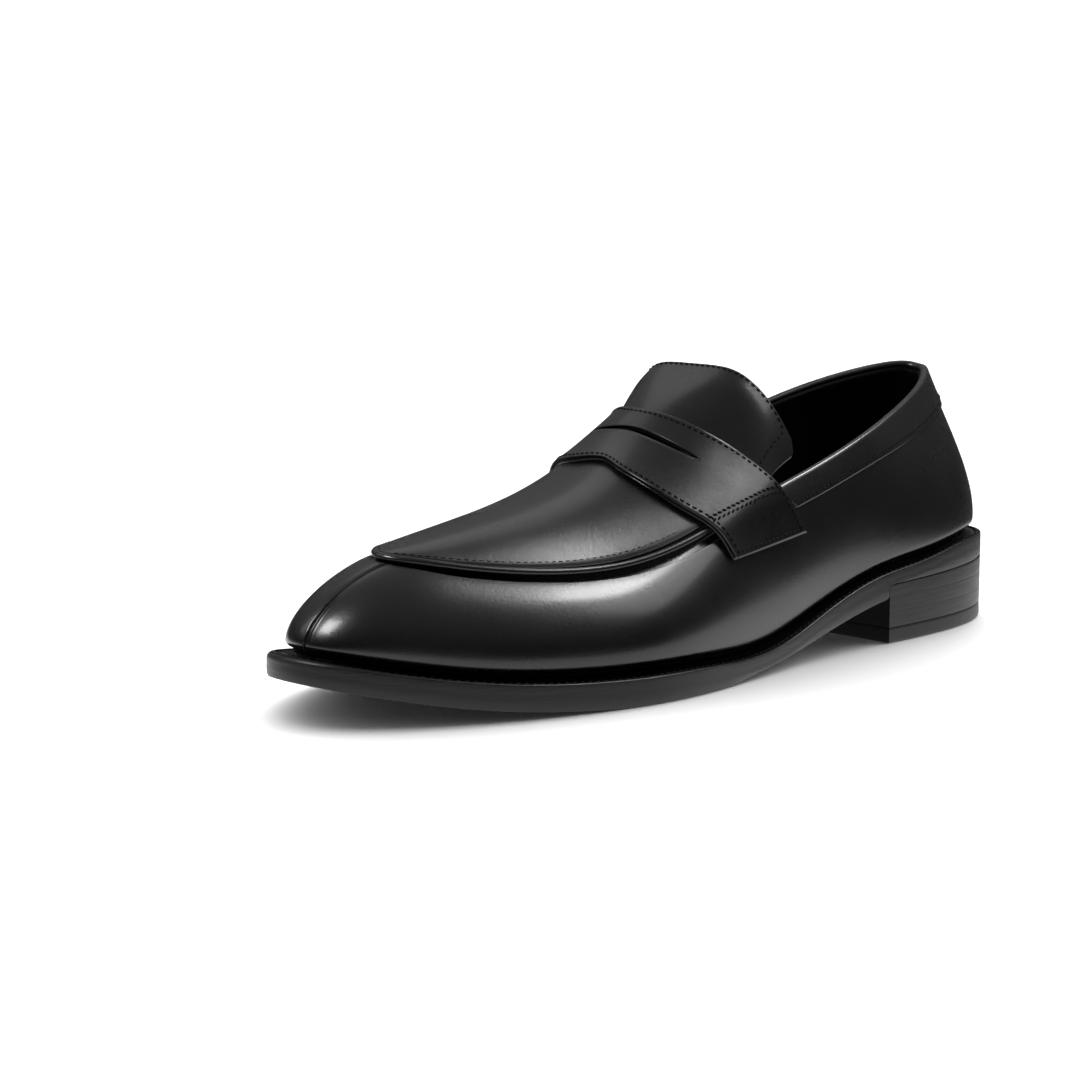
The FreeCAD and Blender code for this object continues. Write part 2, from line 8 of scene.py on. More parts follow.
import bmesh
import bpy
import numpy as np
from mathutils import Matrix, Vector


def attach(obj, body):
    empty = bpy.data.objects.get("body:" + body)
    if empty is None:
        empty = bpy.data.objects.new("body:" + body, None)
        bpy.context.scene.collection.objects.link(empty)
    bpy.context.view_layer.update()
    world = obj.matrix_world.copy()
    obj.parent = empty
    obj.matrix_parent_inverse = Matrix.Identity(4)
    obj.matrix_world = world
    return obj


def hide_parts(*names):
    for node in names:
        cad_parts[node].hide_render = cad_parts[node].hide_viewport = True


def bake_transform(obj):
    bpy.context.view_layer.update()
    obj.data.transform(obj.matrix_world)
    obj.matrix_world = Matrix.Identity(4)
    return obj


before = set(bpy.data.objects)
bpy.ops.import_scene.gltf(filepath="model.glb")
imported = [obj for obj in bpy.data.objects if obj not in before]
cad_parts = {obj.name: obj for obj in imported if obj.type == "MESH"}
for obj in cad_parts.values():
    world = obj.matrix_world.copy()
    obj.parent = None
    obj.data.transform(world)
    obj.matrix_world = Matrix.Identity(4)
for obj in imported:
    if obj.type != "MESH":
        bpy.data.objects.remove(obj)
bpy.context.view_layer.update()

# ------------------------ driving dimensions
MIDDLE = np.array([3.25, -1.45, 0.0])  # middle of the sole's plan, the frame's origin
LEATHER = 1.4
GIRTH = 600.0  # rough length in mm of one turn of s round the upper
NUDGE = 0.002  # step in s, t, u or v used for slopes
BREAST_X = -66.0  # front face of the heel
TOP_LIFT = 5.2
LIFT_JOINTS = (10.6, 15.9)  # heights between the three leather lifts
LIFT_GAP = 0.01
OUTSOLE_DROP = -3.01  # top of the outsole, from the top of the welt
RING_COUNT = 420  # points round the welt
HEEL_COUNT = 220  # points round each heel lift, from breast to breast
FILL_RINGS = 14  # rings that fill the outsole's top and tread
SEAT_FRONT_Z = 19.3  # top of the heel block at its breast and at its back
SEAT_BACK_Z = 22.0

# Ribs round the upper from the heel seam (s = 0) along the outer side to the toe seam (s = 0.5)
# and back along the inner side: foot x, y; top x, y, z; lower handle out, up; upper handle out, down.
RIBS = [
    (-143.0, 1.6, -129.8, -2.3, 87.0, 3.8, 16, 8.0, 20),
    (-136.2, 16.6, -124.9, 4.4, 86.4, 3.8, 16, 8.0, 20),
    (-118.8, 28.4, -110.5, 13.6, 82.6, 2.9, 15, 8.5, 19),
    (-93.0, 34.0, -88.0, 21.8, 76.4, 2.5, 14, 8.3, 18),
    (-62.0, 34.6, -60.0, 28.6, 69.0, 3.0, 13, 6.0, 15),
    (-30.0, 36.0, -31.0, 31.5, 61.2, 4.0, 13, 5.5, 13),
    (0.0, 39.5, -3.0, 33.3, 54.0, 4.5, 12, 6.0, 10),
    (28.0, 43.0, 27.0, 33.6, 44.2, 5.0, 11, 8.0, 6),
    (55.0, 43.5, 54.0, 29.6, 38.4, 4.8, 10, 10.0, 4.5),
    (84.0, 37.5, 80.0, 22.2, 38.4, 4.5, 10, 11.0, 4),
    (113.0, 26.0, 101.0, 13.0, 41.0, 4.0, 10, 12.0, 4),
    (138.0, 8.5, 113.5, 5.0, 43.4, 3.5, 10, 13.0, 4),
    (146.7, -7.0, 119.0, -4.0, 44.5, 3.0, 10, 13.5, 4),
    (140.5, -23.0, 113.5, -13.0, 44.6, 3.5, 10, 13.0, 4),
    (119.0, -37.0, 101.0, -21.5, 43.5, 4.0, 10, 12.0, 4),
    (90.0, -44.5, 80.0, -30.5, 42.2, 4.5, 10, 11.0, 4),
    (62.0, -47.0, 54.0, -37.0, 43.5, 5.0, 10, 10.0, 4.5),
    (33.0, -42.5, 27.0, -40.5, 48.5, 5.0, 11, 8.0, 6),
    (0.0, -32.5, -3.0, -38.5, 56.5, 7.0, 13, 4.0, 10),
    (-30.0, -27.0, -31.0, -36.0, 62.5, 6.5, 15, 3.0, 13),
    (-62.0, -27.0, -60.0, -33.0, 70.0, 4.5, 15, 3.0, 15),
    (-93.0, -29.0, -88.0, -27.0, 78.6, 3.0, 14, 6.0, 18),
    (-119.0, -24.5, -111.5, -18.5, 84.8, 2.5, 15, 7.5, 19),
    (-137.0, -13.5, -127.0, -9.5, 87.6, 3.0, 16, 7.5, 20),
]
RIB_COUNT = len(RIBS)
LEDGE_WIDTH = [2.9, 3.5, 3.1, 2.5, 2.8, 3.5, 4.5, 5.2, 5.5, 5.6, 5.7, 5.8,
               5.8, 5.8, 5.7, 5.5, 5.2, 4.5, 3.8, 3.0, 2.6, 2.5, 2.5, 2.5]
LEDGE_X = [-150, -132, -115, -103, -92, -80, -65, -50, -30, -10, 10, 35, 60, 90, 120, 140, 155]
LEDGE_Z = [28.6, 29.5, 29.6, 28.6, 26.9, 25.3, 23.6, 20.6, 14.8, 9.3, 7.1, 7.9, 8.4, 9.6, 13.0, 16.8,
           20.2]
SOLE_X = [-66, -50, -30, -10, 10, 30, 60, 90, 120, 155]
SOLE_DEPTH = [8.9, 8.5, 6.9, 5.1, 5.3, 8.0, 8.7, 8.3, 8.0, 7.6]
# Crest of the instep: x, y, z at u = 0 ... 8, from the apron's tip to the tongue's end.
CREST = [(119.0, -4.0, 44.6), (113.5, -4.0, 45.9), (101.0, -4.0, 47.8), (80.0, -3.8, 50.8),
         (54.0, -3.4, 55.5), (27.0, -3.0, 64.5), (7.0, -3.0, 78.5), (-6.0, -3.0, 87.8),
         (-14.0, -3.5, 93.5)]
CROWN = 2.2

# u of the strap's front and rear edges across the instep, from the inner side to the outer side.
STRAP_V = [-1, -0.72, -0.5, -0.25, 0, 0.25, 0.5, 0.72, 1]
STRAP_FRONT = [5.45, 5.22, 5.03, 4.94, 4.95, 4.85, 4.86, 4.96, 5.23]
STRAP_REAR = [6.60, 6.42, 6.24, 6.03, 5.95, 5.95, 6.02, 6.19, 6.59]
STRAP_LIFT = 2.1
STRAP_THICK = 1.7
STRAP_LINES = 7  # lines across which the strap's inner face is drawn
TAB_FRONT = (6.60, 0.68)  # lower corners of the tab: rib number and t
TAB_REAR = (5.35, 0.625)
SLOT_B = (-0.365, 0.41)  # ends of the strap's slot, as shares of half its length
TONGUE_ROOT = 5.7  # u where the tongue starts under the strap, and where it ends
TONGUE_END = 7.95
TONGUE_FREE = 5.9  # u from which the tongue's section grows squarer
TONGUE_CROWN = 4.6
TONGUE_WIDTH = 0.958
TONGUE_BEND = (6.1, 7.0)  # u of two points on the crest over the free flap

WALL_TOP = 0.955  # t of the side wall's upper edge
WALL_FOOT_T = 0.14  # rows of points lie closer below this t and above the next
WALL_RIM_T = 0.76
WALL_FOOT_EXTRA = 2.4  # more thickness in the foot, behind the tuck
SEAM_LEAN = 0.013  # how far in s the toe seam leans over above the next t
SEAM_LEAN_T = 0.6
SEAM_OPEN_T = 0.62  # the toe seam gapes below this t
SEAM_DEPTH = 0.3
SEAM_OPEN_DEPTH = 1.0
SEAM_LIP = 0.5
SEAM_SEWING = 0.55  # mm from the seam to each of its rows of thread
SEAM_TEETH = 22.0  # teeth of the ragged gap, and how far in mm they sway
SEAM_SWAY = 0.9
TUCK_DEPTH = 2.9  # how far the wall draws in where it meets the welt
TUCK_HEIGHT = 2.2
STEP_DEPTH = 3.0  # how far the wall steps in under the apron's rim
STEP_HEIGHT = 2.2
STEP_EXTRA = 1.9
STEP_END = 0.275  # distance in s from the toe seam where the step has run out
APRON_EDGE = 0.965  # v of the apron's cut edge
APRON_TIP = 0.06  # u of its front, and of its rear under the strap
APRON_REAR = 5.5
APRON_THICK = 1.3
APRON_LIFT = 0.5
APRON_TIP_MM = 9.0  # rough length of one u at the tip
APRON_PRESS = 0.35  # how far its rim is pressed down, and how near the edge
APRON_PRESS_WIDTH = 0.7
APRON_ROW = 1.5  # mm from the apron's edge to its sewing
BEAD_RADIUS = 1.15
BEAD_REAR = 5.3
BEAD_OUT = 0.55
BEAD_UP = 0.72
COLLAR_WIDTH = 0.205  # in t, down from the top line
COLLAR_END = (5.42, 5.64)  # rib numbers of the band's ends, at its lower and upper edge
COLLAR_LEAN_T = 0.135  # t from the lower edge up to where it is as long as the upper
COLLAR_ROLL_T = 0.962  # t where the band leaves the wall and rolls over the top line
COLLAR_FACE = 0.8  # mm out from the wall, and the radius of the roll
COLLAR_ROLL = 1.45
COLLAR_FOLD = COLLAR_ROLL - COLLAR_FACE
COLLAR_DROP = COLLAR_ROLL - 0.35
STRIP_HALF = 0.011  # in s: half the back strip's width, and its sewing from the middle
STRIP_ROW = 0.0085

STITCH_ROUNDS = np.array([0.0, 0.12, 0.35, 0.65, 0.88, 1.0])  # shares of one thread's length
STITCH_SWELL = np.array([0.45, 0.85, 1.0, 1.0, 0.85, 0.45])  # and its radius and height there
STITCH_RISE = np.array([-0.9, 0.05, 0.45, 0.45, 0.05, -0.9])
STITCH_SIDES = 8
FEW_POINTS = 60  # a line with fewer points is smoothed before it is sewn

CAMERA_PLACE = (612.9, 573.4, 167.0)
CAMERA_TURN = 0.768  # radians from +Y towards +X
CAMERA_TILT = 0.153
CAMERA_LENS = 87.5
FLOOR_SHINE = 1.25  # light of the table in the leather, in the pool round the shoe
FLOOR_DIM = 0.05  # and beyond it
FLOOR_POOL = (0.20, 0.34)  # metres over which it fades
FLOOR_SIZE = 8.0
FLOOR_DROP = 0.0002  # keeps the table clear of the soles
# Turn and tilt in degrees, distance and size in metres, and radiance of each light.
SOFTBOXES = {
    "main": (157, 56, 1.1, (0.44, 0.25), 20),
    "side": (135, 41, 1.3, (0.46, 0.42), 3.0),
    "toe": (-12, 37, 1.0, (0.34, 0.30), 19),
    "toe_side": (-54, 30, 1.2, (0.30, 0.50), 1.6),
    "back": (-122, 50, 1.5, (1.10, 0.60), 0.45),
}
LIGHT_AIM = (0.0, 0.0, 0.03)
ROOM_HIGH = 0.18  # what the leather sees of the room above, and at floor level
ROOM_LOW = 0.03
ROOM_WHITE = 1.1  # what the camera sees behind the shoe
SWEEP_WAY = (-0.66, -0.62, 0.45)  # the bright backdrop that lights the floor, seen from the shoe
SWEEP_BRIGHT = 5.0
SWEEP_DIM = 0.22


# ------------------------ curves and surfaces
def cardinal(xs):
    """Weights of the natural cubic through points at xs: f(x) gives one weight for each point."""
    xs = np.asarray(xs, float)
    n = len(xs)
    h = np.diff(xs)
    system = np.eye(n)
    right = np.zeros((n, n))
    for i in range(1, n - 1):
        system[i, i - 1:i + 2] = h[i - 1], 2 * (h[i - 1] + h[i]), h[i]
        right[i, i - 1:i + 2] = 6 / h[i - 1], -6 / h[i - 1] - 6 / h[i], 6 / h[i]
    bend = np.linalg.solve(system, right)
    pick = np.eye(n)

    def weights(x):
        x = np.clip(np.asarray(x, float), xs[0], xs[-1])
        k = np.clip(np.searchsorted(xs, x, side="right") - 1, 0, n - 2)
        step = h[k][..., None]
        a = xs[k + 1][..., None] - x[..., None]
        b = x[..., None] - xs[k][..., None]
        curve = (bend[k] * a ** 3 + bend[k + 1] * b ** 3) / (6 * step)
        return (curve + (pick[k] / step - bend[k] * step / 6) * a
                + (pick[k + 1] / step - bend[k + 1] * step / 6) * b)
    return weights


def path(rows, at=None):
    """Smooth open curve through the rows."""
    rows = np.asarray(rows, float)
    weights = cardinal(np.arange(len(rows)) if at is None else at)
    return lambda x: weights(x) @ rows


def line_through(xs, ys):
    """Smooth y of x through the points."""
    curve = path(np.asarray(ys, float)[:, None], xs)
    return lambda x: curve(x)[..., 0]


def loop(rows):
    """Smooth closed curve through the rows, one turn for s from 0 to 1."""
    n = len(rows)
    lap = 4
    numbers = np.arange(-lap, n + lap + 1)
    curve = path([rows[i % n] for i in numbers], numbers)
    return lambda s: curve(np.mod(s, 1.0) * n)


def unit(v):
    return v / np.maximum(np.linalg.norm(v, axis=-1, keepdims=True), 1e-9)


ledge_z = line_through(LEDGE_X, LEDGE_Z)
sole_depth = line_through(SOLE_X, SOLE_DEPTH)
foot = loop([rib[:2] for rib in RIBS])
ledge_loop = loop([(width,) for width in LEDGE_WIDTH])
crest = path(CREST)


def bell(x, width, power=2):
    """1 at x = 0, falling smoothly to nothing at about twice the width."""
    return np.exp(-np.abs(x / width) ** power)


def foot_normal(s):
    """Outward direction of the wall's foot in plan."""
    along = foot(np.asarray(s) + NUDGE) - foot(np.asarray(s) - NUDGE)
    return unit(np.stack([-along[..., 1], along[..., 0]], -1))


def rib_handles():
    """The four points of each rib's curve, from the foot to the top line."""
    rows = []
    for i, (fx, fy, tx, ty, tz, low_out, low_up, high_out, high_down) in enumerate(RIBS):
        nx, ny = foot_normal(i / RIB_COUNT)
        z = float(ledge_z(fx))
        rows.append((fx, fy, z,
                     fx + nx * low_out, fy + ny * low_out, z + low_up,
                     tx + nx * high_out, ty + ny * high_out, tz - high_down,
                     tx, ty, tz))
    return rows


handles = loop(rib_handles())


def wall(s, t):
    """Outer face of the side wall; below t = 0 it goes straight down beside the welt."""
    s, t = np.broadcast_arrays(np.asarray(s, float), np.asarray(t, float))
    h = handles(s)
    up = np.clip(t, 0, None)[..., None]
    m = 1 - up
    p = (m ** 3 * h[..., 0:3] + 3 * m * m * up * h[..., 3:6]
         + 3 * m * up * up * h[..., 6:9] + up ** 3 * h[..., 9:12])
    p[..., 2] += 60 * np.clip(t, None, 0)
    return p


def side_s(u, side):
    """The s of the rib that meets the instep at u, on the outer (1) or inner (-1) side."""
    rib = np.where(np.asarray(u) < 6, u, 6 + (np.asarray(u) - 6) / 2)
    return (RIB_COUNT / 2 - side * rib) / RIB_COUNT


def arch(u, v, crown):
    """Cross-section of the instep, from the crest down to the wall's top on the side of v."""
    c = crest(u)
    edge = np.where(v[..., None] >= 0, wall(side_s(u, 1), 1.0), wall(side_s(u, -1), 1.0)) - c
    bow = np.abs(v) ** crown
    return c + edge * np.stack([bow, np.abs(v), bow], -1)


def top(u, v):
    """Outer face of the instep, which meets the wall's top at v = -1 and v = 1."""
    u, v = np.broadcast_arrays(np.asarray(u, float), np.asarray(v, float))
    return arch(u, v, CROWN)


def half_width(u):
    """Half the distance in mm across the instep, between the walls' tops."""
    return np.linalg.norm(top(u, 1.0) - top(u, -1.0), axis=-1) / 2


def smooth(x):
    x = np.clip(x, 0, 1)
    return x * x * (3 - 2 * x)


def normal(surface, u, v):
    """Outward direction of a surface."""
    du = surface(u + NUDGE, v) - surface(u - NUDGE, v)
    dv = surface(u, v + NUDGE) - surface(u, v - NUDGE)
    return -unit(np.cross(du, dv))


def offset(surface, u, v, distance):
    u, v, distance = np.broadcast_arrays(*[np.asarray(k, float) for k in (u, v, distance)])
    return surface(u, v) + normal(surface, u, v) * distance[..., None]


front_u = line_through(STRAP_V, STRAP_FRONT)
rear_u = line_through(STRAP_V, STRAP_REAR)


def strap_u(a, v):
    """The u of the strap from its front edge (a = 0) to its rear edge (1), across the instep."""
    return front_u(v) + (rear_u(v) - front_u(v)) * a


def strap_line(a):
    """One line of the strap's inner face, from the inner tab's end to the outer tab's end."""
    rows = []
    for side in (-1, 1):
        rib = TAB_FRONT[0] + (TAB_REAR[0] - TAB_FRONT[0]) * a
        t_low = TAB_FRONT[1] + (TAB_REAR[1] - TAB_FRONT[1]) * a
        s_low = 0.5 - side * (0.5 - rib / RIB_COUNT)
        s_top = side_s(strap_u(a, side), side)
        tab = [offset(wall, s_low + (s_top - s_low) * k, t_low + (1 - t_low) * k, lift)
               for k, lift in ((0, 0.4), (0.45, 0.7), (0.85, 1.7))]
        over = [offset(top, strap_u(a, side * v), side * v, STRAP_LIFT)
                for v in (0.86, 0.66, 0.44, 0.22)]
        rows.append(tab + over)
    middle = 0.001              # just beside v = 0, where the two sides meet
    return np.array(rows[0] + [offset(top, strap_u(a, middle), middle, STRAP_LIFT)] + rows[1][::-1])


def lengths(line):
    """Distance along a line of points, at each of them."""
    return np.concatenate([[0.0], np.cumsum(np.linalg.norm(np.diff(line, axis=0), axis=1))])


strap_lines = []
for k in range(STRAP_LINES):
    rows = strap_line(k / (STRAP_LINES - 1))
    strap_lines.append(path(rows, lengths(rows) / lengths(rows)[-1] * 2 - 1))
strap_across = cardinal(np.arange(STRAP_LINES))


def strap(a, b):
    """Inner face of the saddle strap: a from front to rear, b from the inner to the outer side."""
    a, b = np.broadcast_arrays(np.asarray(a, float), np.asarray(b, float))
    over = strap_across(a * (STRAP_LINES - 1))
    return sum(over[..., k, None] * line(b) for k, line in enumerate(strap_lines))


# ------------------------ meshes
def to_frame(points):
    """From the last's millimetres to the frame's metres."""
    return (np.asarray(points, float) - MIDDLE) / 1000.0


def make_mesh(name, points, faces, material, node_slot, body="shoe"):
    """A smooth mesh that faces outwards. It rides on the body, if there is one."""
    mesh = bpy.data.meshes.new(name)
    mesh.from_pydata(to_frame(points).tolist(), [], faces)
    mesh.validate()
    shell = bmesh.new()
    shell.from_mesh(mesh)
    bmesh.ops.recalc_face_normals(shell, faces=shell.faces)
    shell.to_mesh(mesh)
    shell.free()
    mesh.update()
    mesh.polygons.foreach_set("use_smooth", [True] * len(mesh.polygons))
    piece = bpy.data.objects.new(name, mesh)
    bpy.context.scene.collection.objects.link(piece)
    mesh.materials.append(material)
    if body:
        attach(piece, body)
    return piece


def raw_edge_and_shade_faces(piece, way, limit, first=0):
    """Gives the faces that look along way a dark matt finish, from the face number first: partly the look
    of a raw edge, partly painted shade on faces that turn away from the light.
    """
    piece.data.materials.append(MATT_AND_SHADE)
    way = Vector(way).normalized()
    for polygon in piece.data.polygons[first:]:
        if polygon.normal.dot(way) > limit:
            polygon.material_index = 1


def crisp(piece, degrees):
    """Keeps the corners of a hard piece sharp."""
    piece.data.set_sharp_from_angle(angle=math.radians(degrees))


def grid_quads(rows, columns):
    number = np.arange(rows * columns).reshape(rows, columns)
    corners = [number[:-1, :-1], number[:-1, 1:], number[1:, 1:], number[1:, :-1]]
    return np.stack(corners, -1).reshape(-1, 4)


def band_quads(i, j, size):
    """Quads round a tube, between its closed rings number i and j, of size points each."""
    return [(i * size + k, i * size + (k + 1) % size, j * size + (k + 1) % size, j * size + k)
            for k in range(size)]


def rims(faces):
    """The directed border edges of a set of faces."""
    edges = set()
    for face in faces:
        for a, b in zip(face, tuple(face[1:]) + tuple(face[:1])):
            edges.add((a, b))
    return [(a, b) for a, b in edges if (b, a) not in edges]


def thick(outer, inner, faces, steps=3, bulge=1.0):
    """Closed sheet between two faces, with rounded edges. Returns points and faces."""
    outer = outer.reshape(-1, 3)
    inner = inner.reshape(-1, 3)
    faces = [tuple(int(k) for k in face) for face in faces]
    border = rims(faces)
    first = sorted({a for a, b in border})
    place = {a: k for k, a in enumerate(first)}
    through = outer[first] - inner[first]
    half = np.linalg.norm(through, axis=-1, keepdims=True) / 2
    out = np.zeros((len(first), 3))
    for a, b in border:
        aside = np.cross(outer[b] - outer[a], outer[a] - inner[a])
        aside = aside / max(np.linalg.norm(aside), 1e-9)
        out[place[a]] += aside
        out[place[b]] += aside
    out = unit(out)
    n = len(outer)
    points = [outer, inner]
    levels = [{a: a for a in first}]
    start = 2 * n
    for k in range(1, steps + 1):
        turn = math.pi * k / (steps + 1)
        points.append((outer[first] + inner[first]) / 2 + through / 2 * math.cos(turn)
                      + out * half * math.sin(turn) * bulge)
        levels.append({a: start + place[a] for a in first})
        start += len(first)
    levels.append({a: n + a for a in first})
    made = list(faces) + [tuple(n + k for k in face[::-1]) for face in faces]
    for a, b in border:
        for low, high in zip(levels, levels[1:]):
            made.append((low[b], low[a], high[a], high[b]))
    return np.concatenate(points), made


def sheet(surface, us, vs, low, high, flip=False):
    """Sheet that follows a surface between two heights above it."""
    u, v = np.meshgrid(us, vs, indexing="ij")
    outer = offset(surface, u, v, high)
    inner = offset(surface, u, v, low)
    quads = grid_quads(len(us), len(vs))
    if flip:
        quads = quads[:, ::-1]
    return thick(outer, inner, quads)


def joined(parts):
    """Several (points, faces) as one."""
    points = []
    faces = []
    start = 0
    for some_points, some_faces in parts:
        points.append(some_points)
        faces += [tuple(start + k for k in face) for face in some_faces]
        start += len(some_points)
    return np.concatenate(points), faces


def tube(line, radius, sides):
    """Round tube along an open list of points."""
    n = len(line)
    ahead = unit(np.gradient(line, axis=0))
    aside = unit(np.cross(ahead, np.array([0.0, 0.0, 1.0])))
    above = np.cross(aside, ahead)
    turn = np.linspace(0, 2 * math.pi, sides, endpoint=False)[:, None]
    rings = line[:, None] + radius * (aside[:, None] * np.cos(turn) + above[:, None] * np.sin(turn))
    faces = []
    for i in range(n - 1):
        faces += band_quads(i, i + 1, sides)
    points = np.concatenate([rings.reshape(-1, 3), line[:1], line[-1:]])
    for k in range(sides):
        m = (k + 1) % sides
        faces.append((n * sides, m, k))
        faces.append((n * sides + 1, (n - 1) * sides + k, (n - 1) * sides + m))
    return points, faces


def between(x, at, rows):
    """Rows of three numbers known at distances at, between them by straight lines."""
    return np.stack([np.interp(x, at, rows[:, i]) for i in range(3)], -1)


def stitches(line, up, pitch, radius, share=0.74, slant=0.0):
    """Row of threads that rise out of the leather and dive back, along a line with normals."""
    at = lengths(line)
    count = max(1, int(round(at[-1] / pitch)))
    place = path(line, at) if len(line) < FEW_POINTS else None
    turn = np.linspace(0, 2 * math.pi, STITCH_SIDES, endpoint=False)[:, None]
    last = len(STITCH_ROUNDS) - 1
    faces = []
    for i in range(last):
        faces += band_quads(i, i + 1, STITCH_SIDES)
    faces.append(tuple(range(STITCH_SIDES))[::-1])
    faces.append(tuple(last * STITCH_SIDES + j for j in range(STITCH_SIDES)))
    parts = []
    for k in range(count):
        x = (k + 0.5 + (STITCH_ROUNDS - 0.5) * share) / count * at[-1]
        p = place(x) if place else between(x, at, line)
        n = unit(between(x, at, up))
        aside = unit(np.cross(unit(np.gradient(p, axis=0)), n))
        p = p + n * (STITCH_RISE * radius)[:, None] + aside * ((STITCH_ROUNDS - 0.5) * slant)[:, None]
        r = (radius * STITCH_SWELL)[:, None, None]
        rings = p[:, None] + r * (aside[:, None] * np.cos(turn) + n[:, None] * np.sin(turn))
        parts.append((rings.reshape(-1, 3), faces))
    return joined(parts)


def row_on(surface, us, vs, height, pitch, radius, **extra):
    """Stitches along a line on a surface."""
    us, vs = np.broadcast_arrays(np.asarray(us, float), np.asarray(vs, float))
    return stitches(offset(surface, us, vs, height), normal(surface, us, vs), pitch, radius, **extra)


def sew(name, rows):
    """One piece of sewing from rows of stitches."""
    piece = make_mesh(name, *joined(rows), THREAD, "thread")
    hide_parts(name)


# ------------------------ materials
def shader(name, color, roughness, **sockets):
    """New material; sockets are more inputs of its shader, with _ for a space."""
    material = bpy.data.materials.new(name)
    material.use_nodes = True
    tree = material.node_tree
    base = tree.nodes["Principled BSDF"]
    base.inputs["Base Color"].default_value = (*color, 1)
    base.inputs["Roughness"].default_value = roughness
    for key, value in sockets.items():
        base.inputs[key.replace("_", " ")].default_value = value
    return material, tree, base


def link_color(tree, value, dark, light):
    """Base colour between two shades, by a value."""
    base = tree.nodes["Principled BSDF"]
    tree.links.new(tint(tree, value, dark, light), base.inputs["Base Color"])


def link_roughness(tree, value, low, high):
    """Roughness between two numbers, by a cloudy value."""
    base = tree.nodes["Principled BSDF"]
    tree.links.new(remap(tree, value, 0.3, 0.7, low, high), base.inputs["Roughness"])


def noise(tree, scale, detail=3.0, roughness=0.55, stretch=None):
    place = tree.nodes.new("ShaderNodeTexCoord")
    texture = tree.nodes.new("ShaderNodeTexNoise")
    texture.inputs["Scale"].default_value = scale
    texture.inputs["Detail"].default_value = detail
    texture.inputs["Roughness"].default_value = roughness
    if stretch:
        mapping = tree.nodes.new("ShaderNodeMapping")
        mapping.inputs["Scale"].default_value = stretch
        tree.links.new(place.outputs["Object"], mapping.inputs["Vector"])
        tree.links.new(mapping.outputs["Vector"], texture.inputs["Vector"])
    else:
        tree.links.new(place.outputs["Object"], texture.inputs["Vector"])
    return texture.outputs["Fac"]


def cells(tree, scale):
    place = tree.nodes.new("ShaderNodeTexCoord")
    texture = tree.nodes.new("ShaderNodeTexVoronoi")
    texture.feature = "DISTANCE_TO_EDGE"
    texture.inputs["Scale"].default_value = scale
    tree.links.new(place.outputs["Object"], texture.inputs["Vector"])
    return texture.outputs["Distance"]


def remap(tree, value, low, high, out_low, out_high):
    node = tree.nodes.new("ShaderNodeMapRange")
    for key, number in (("From Min", low), ("From Max", high), ("To Min", out_low), ("To Max", out_high)):
        node.inputs[key].default_value = number
    tree.links.new(value, node.inputs["Value"])
    return node.outputs["Result"]


def tint(tree, value, dark, light):
    ramp = tree.nodes.new("ShaderNodeValToRGB")
    ramp.color_ramp.elements[0].color = (*dark, 1)
    ramp.color_ramp.elements[1].color = (*light, 1)
    ramp.color_ramp.elements[0].position = 0.35
    ramp.color_ramp.elements[1].position = 0.65
    tree.links.new(value, ramp.inputs["Fac"])
    return ramp.outputs["Color"]


def bump(tree, base, heights, strength):
    """Chains bumps: heights are (value, metres)."""
    last = None
    for value, depth in heights:
        node = tree.nodes.new("ShaderNodeBump")
        node.inputs["Strength"].default_value = strength
        node.inputs["Distance"].default_value = depth
        tree.links.new(value, node.inputs["Height"])
        if last:
            tree.links.new(last, node.inputs["Normal"])
        last = node.outputs["Normal"]
    tree.links.new(last, base.inputs["Normal"])


def calf():
    """Black box calf, waxed and brushed."""
    material, tree, base = shader("polished_calf", (0.0018, 0.0018, 0.0019), 0.33, Coat_Weight=0.25,
                                  Coat_Roughness=0.14, Specular_IOR_Level=0.5)
    clouds = noise(tree, 28.0, 4.0)
    pores = noise(tree, 900.0, 3.0, 0.6)
    dents = noise(tree, 150.0, 2.0)
    link_color(tree, clouds, (0.0012, 0.0012, 0.0013), (0.0026, 0.0026, 0.0028))
    link_roughness(tree, clouds, 0.24, 0.32)
    bump(tree, base, [(cells(tree, 1500.0), 0.00003), (pores, 0.00005), (dents, 0.00004)], 0.7)
    return material


def lining_leather():
    """Dull black calf of the inside."""
    material, tree, base = shader("lining_calf", (0.0012, 0.0012, 0.0012), 0.7, Specular_IOR_Level=0.08)
    clouds = noise(tree, 60.0, 4.0)
    link_color(tree, clouds, (0.0008, 0.0008, 0.0008), (0.0018, 0.0018, 0.0018))
    link_roughness(tree, clouds, 0.55, 0.7)
    bump(tree, base, [(cells(tree, 900.0), 0.00005), (noise(tree, 500.0), 0.00005)], 0.7)
    return material


def dressed_edge():
    """Sole edge, inked, waxed and burnished along its length."""
    material, tree, base = shader("dressed_edge", (0.004, 0.004, 0.004), 0.42, Coat_Weight=0.08,
                                  Coat_Roughness=0.3, Specular_IOR_Level=0.34)
    strokes = noise(tree, 60.0, 4.0, 0.6, (1.0, 1.0, 22.0))
    link_color(tree, strokes, (0.002, 0.002, 0.0021), (0.005, 0.005, 0.0052))
    link_roughness(tree, strokes, 0.34, 0.5)
    bump(tree, base, [(strokes, 0.00012), (noise(tree, 900.0), 0.00002)], 0.5)
    return material


def matt_black_and_shade():
    """Raw edges and undersides, inked but not waxed; also painted shade, a darker and duller finish put
    on faces that lie in shadow.
    """
    material, tree, base = shader("inked_leather_and_painted_shade", (0.002, 0.002, 0.002), 0.75, Specular_IOR_Level=0.1)
    grain = noise(tree, 700.0, 3.0)
    link_color(tree, grain, (0.0012, 0.0012, 0.0012), (0.003, 0.003, 0.003))
    bump(tree, base, [(grain, 0.00005)], 0.6)
    return material


def rubber():
    """Walking surface of the heel."""
    material, tree, base = shader("black_rubber", (0.005, 0.005, 0.005), 0.48, Specular_IOR_Level=0.36)
    grit = noise(tree, 1400.0, 3.0)
    link_color(tree, grit, (0.004, 0.004, 0.004), (0.007, 0.007, 0.007))
    link_roughness(tree, grit, 0.42, 0.54)
    bump(tree, base, [(grit, 0.00004)], 0.6)
    return material


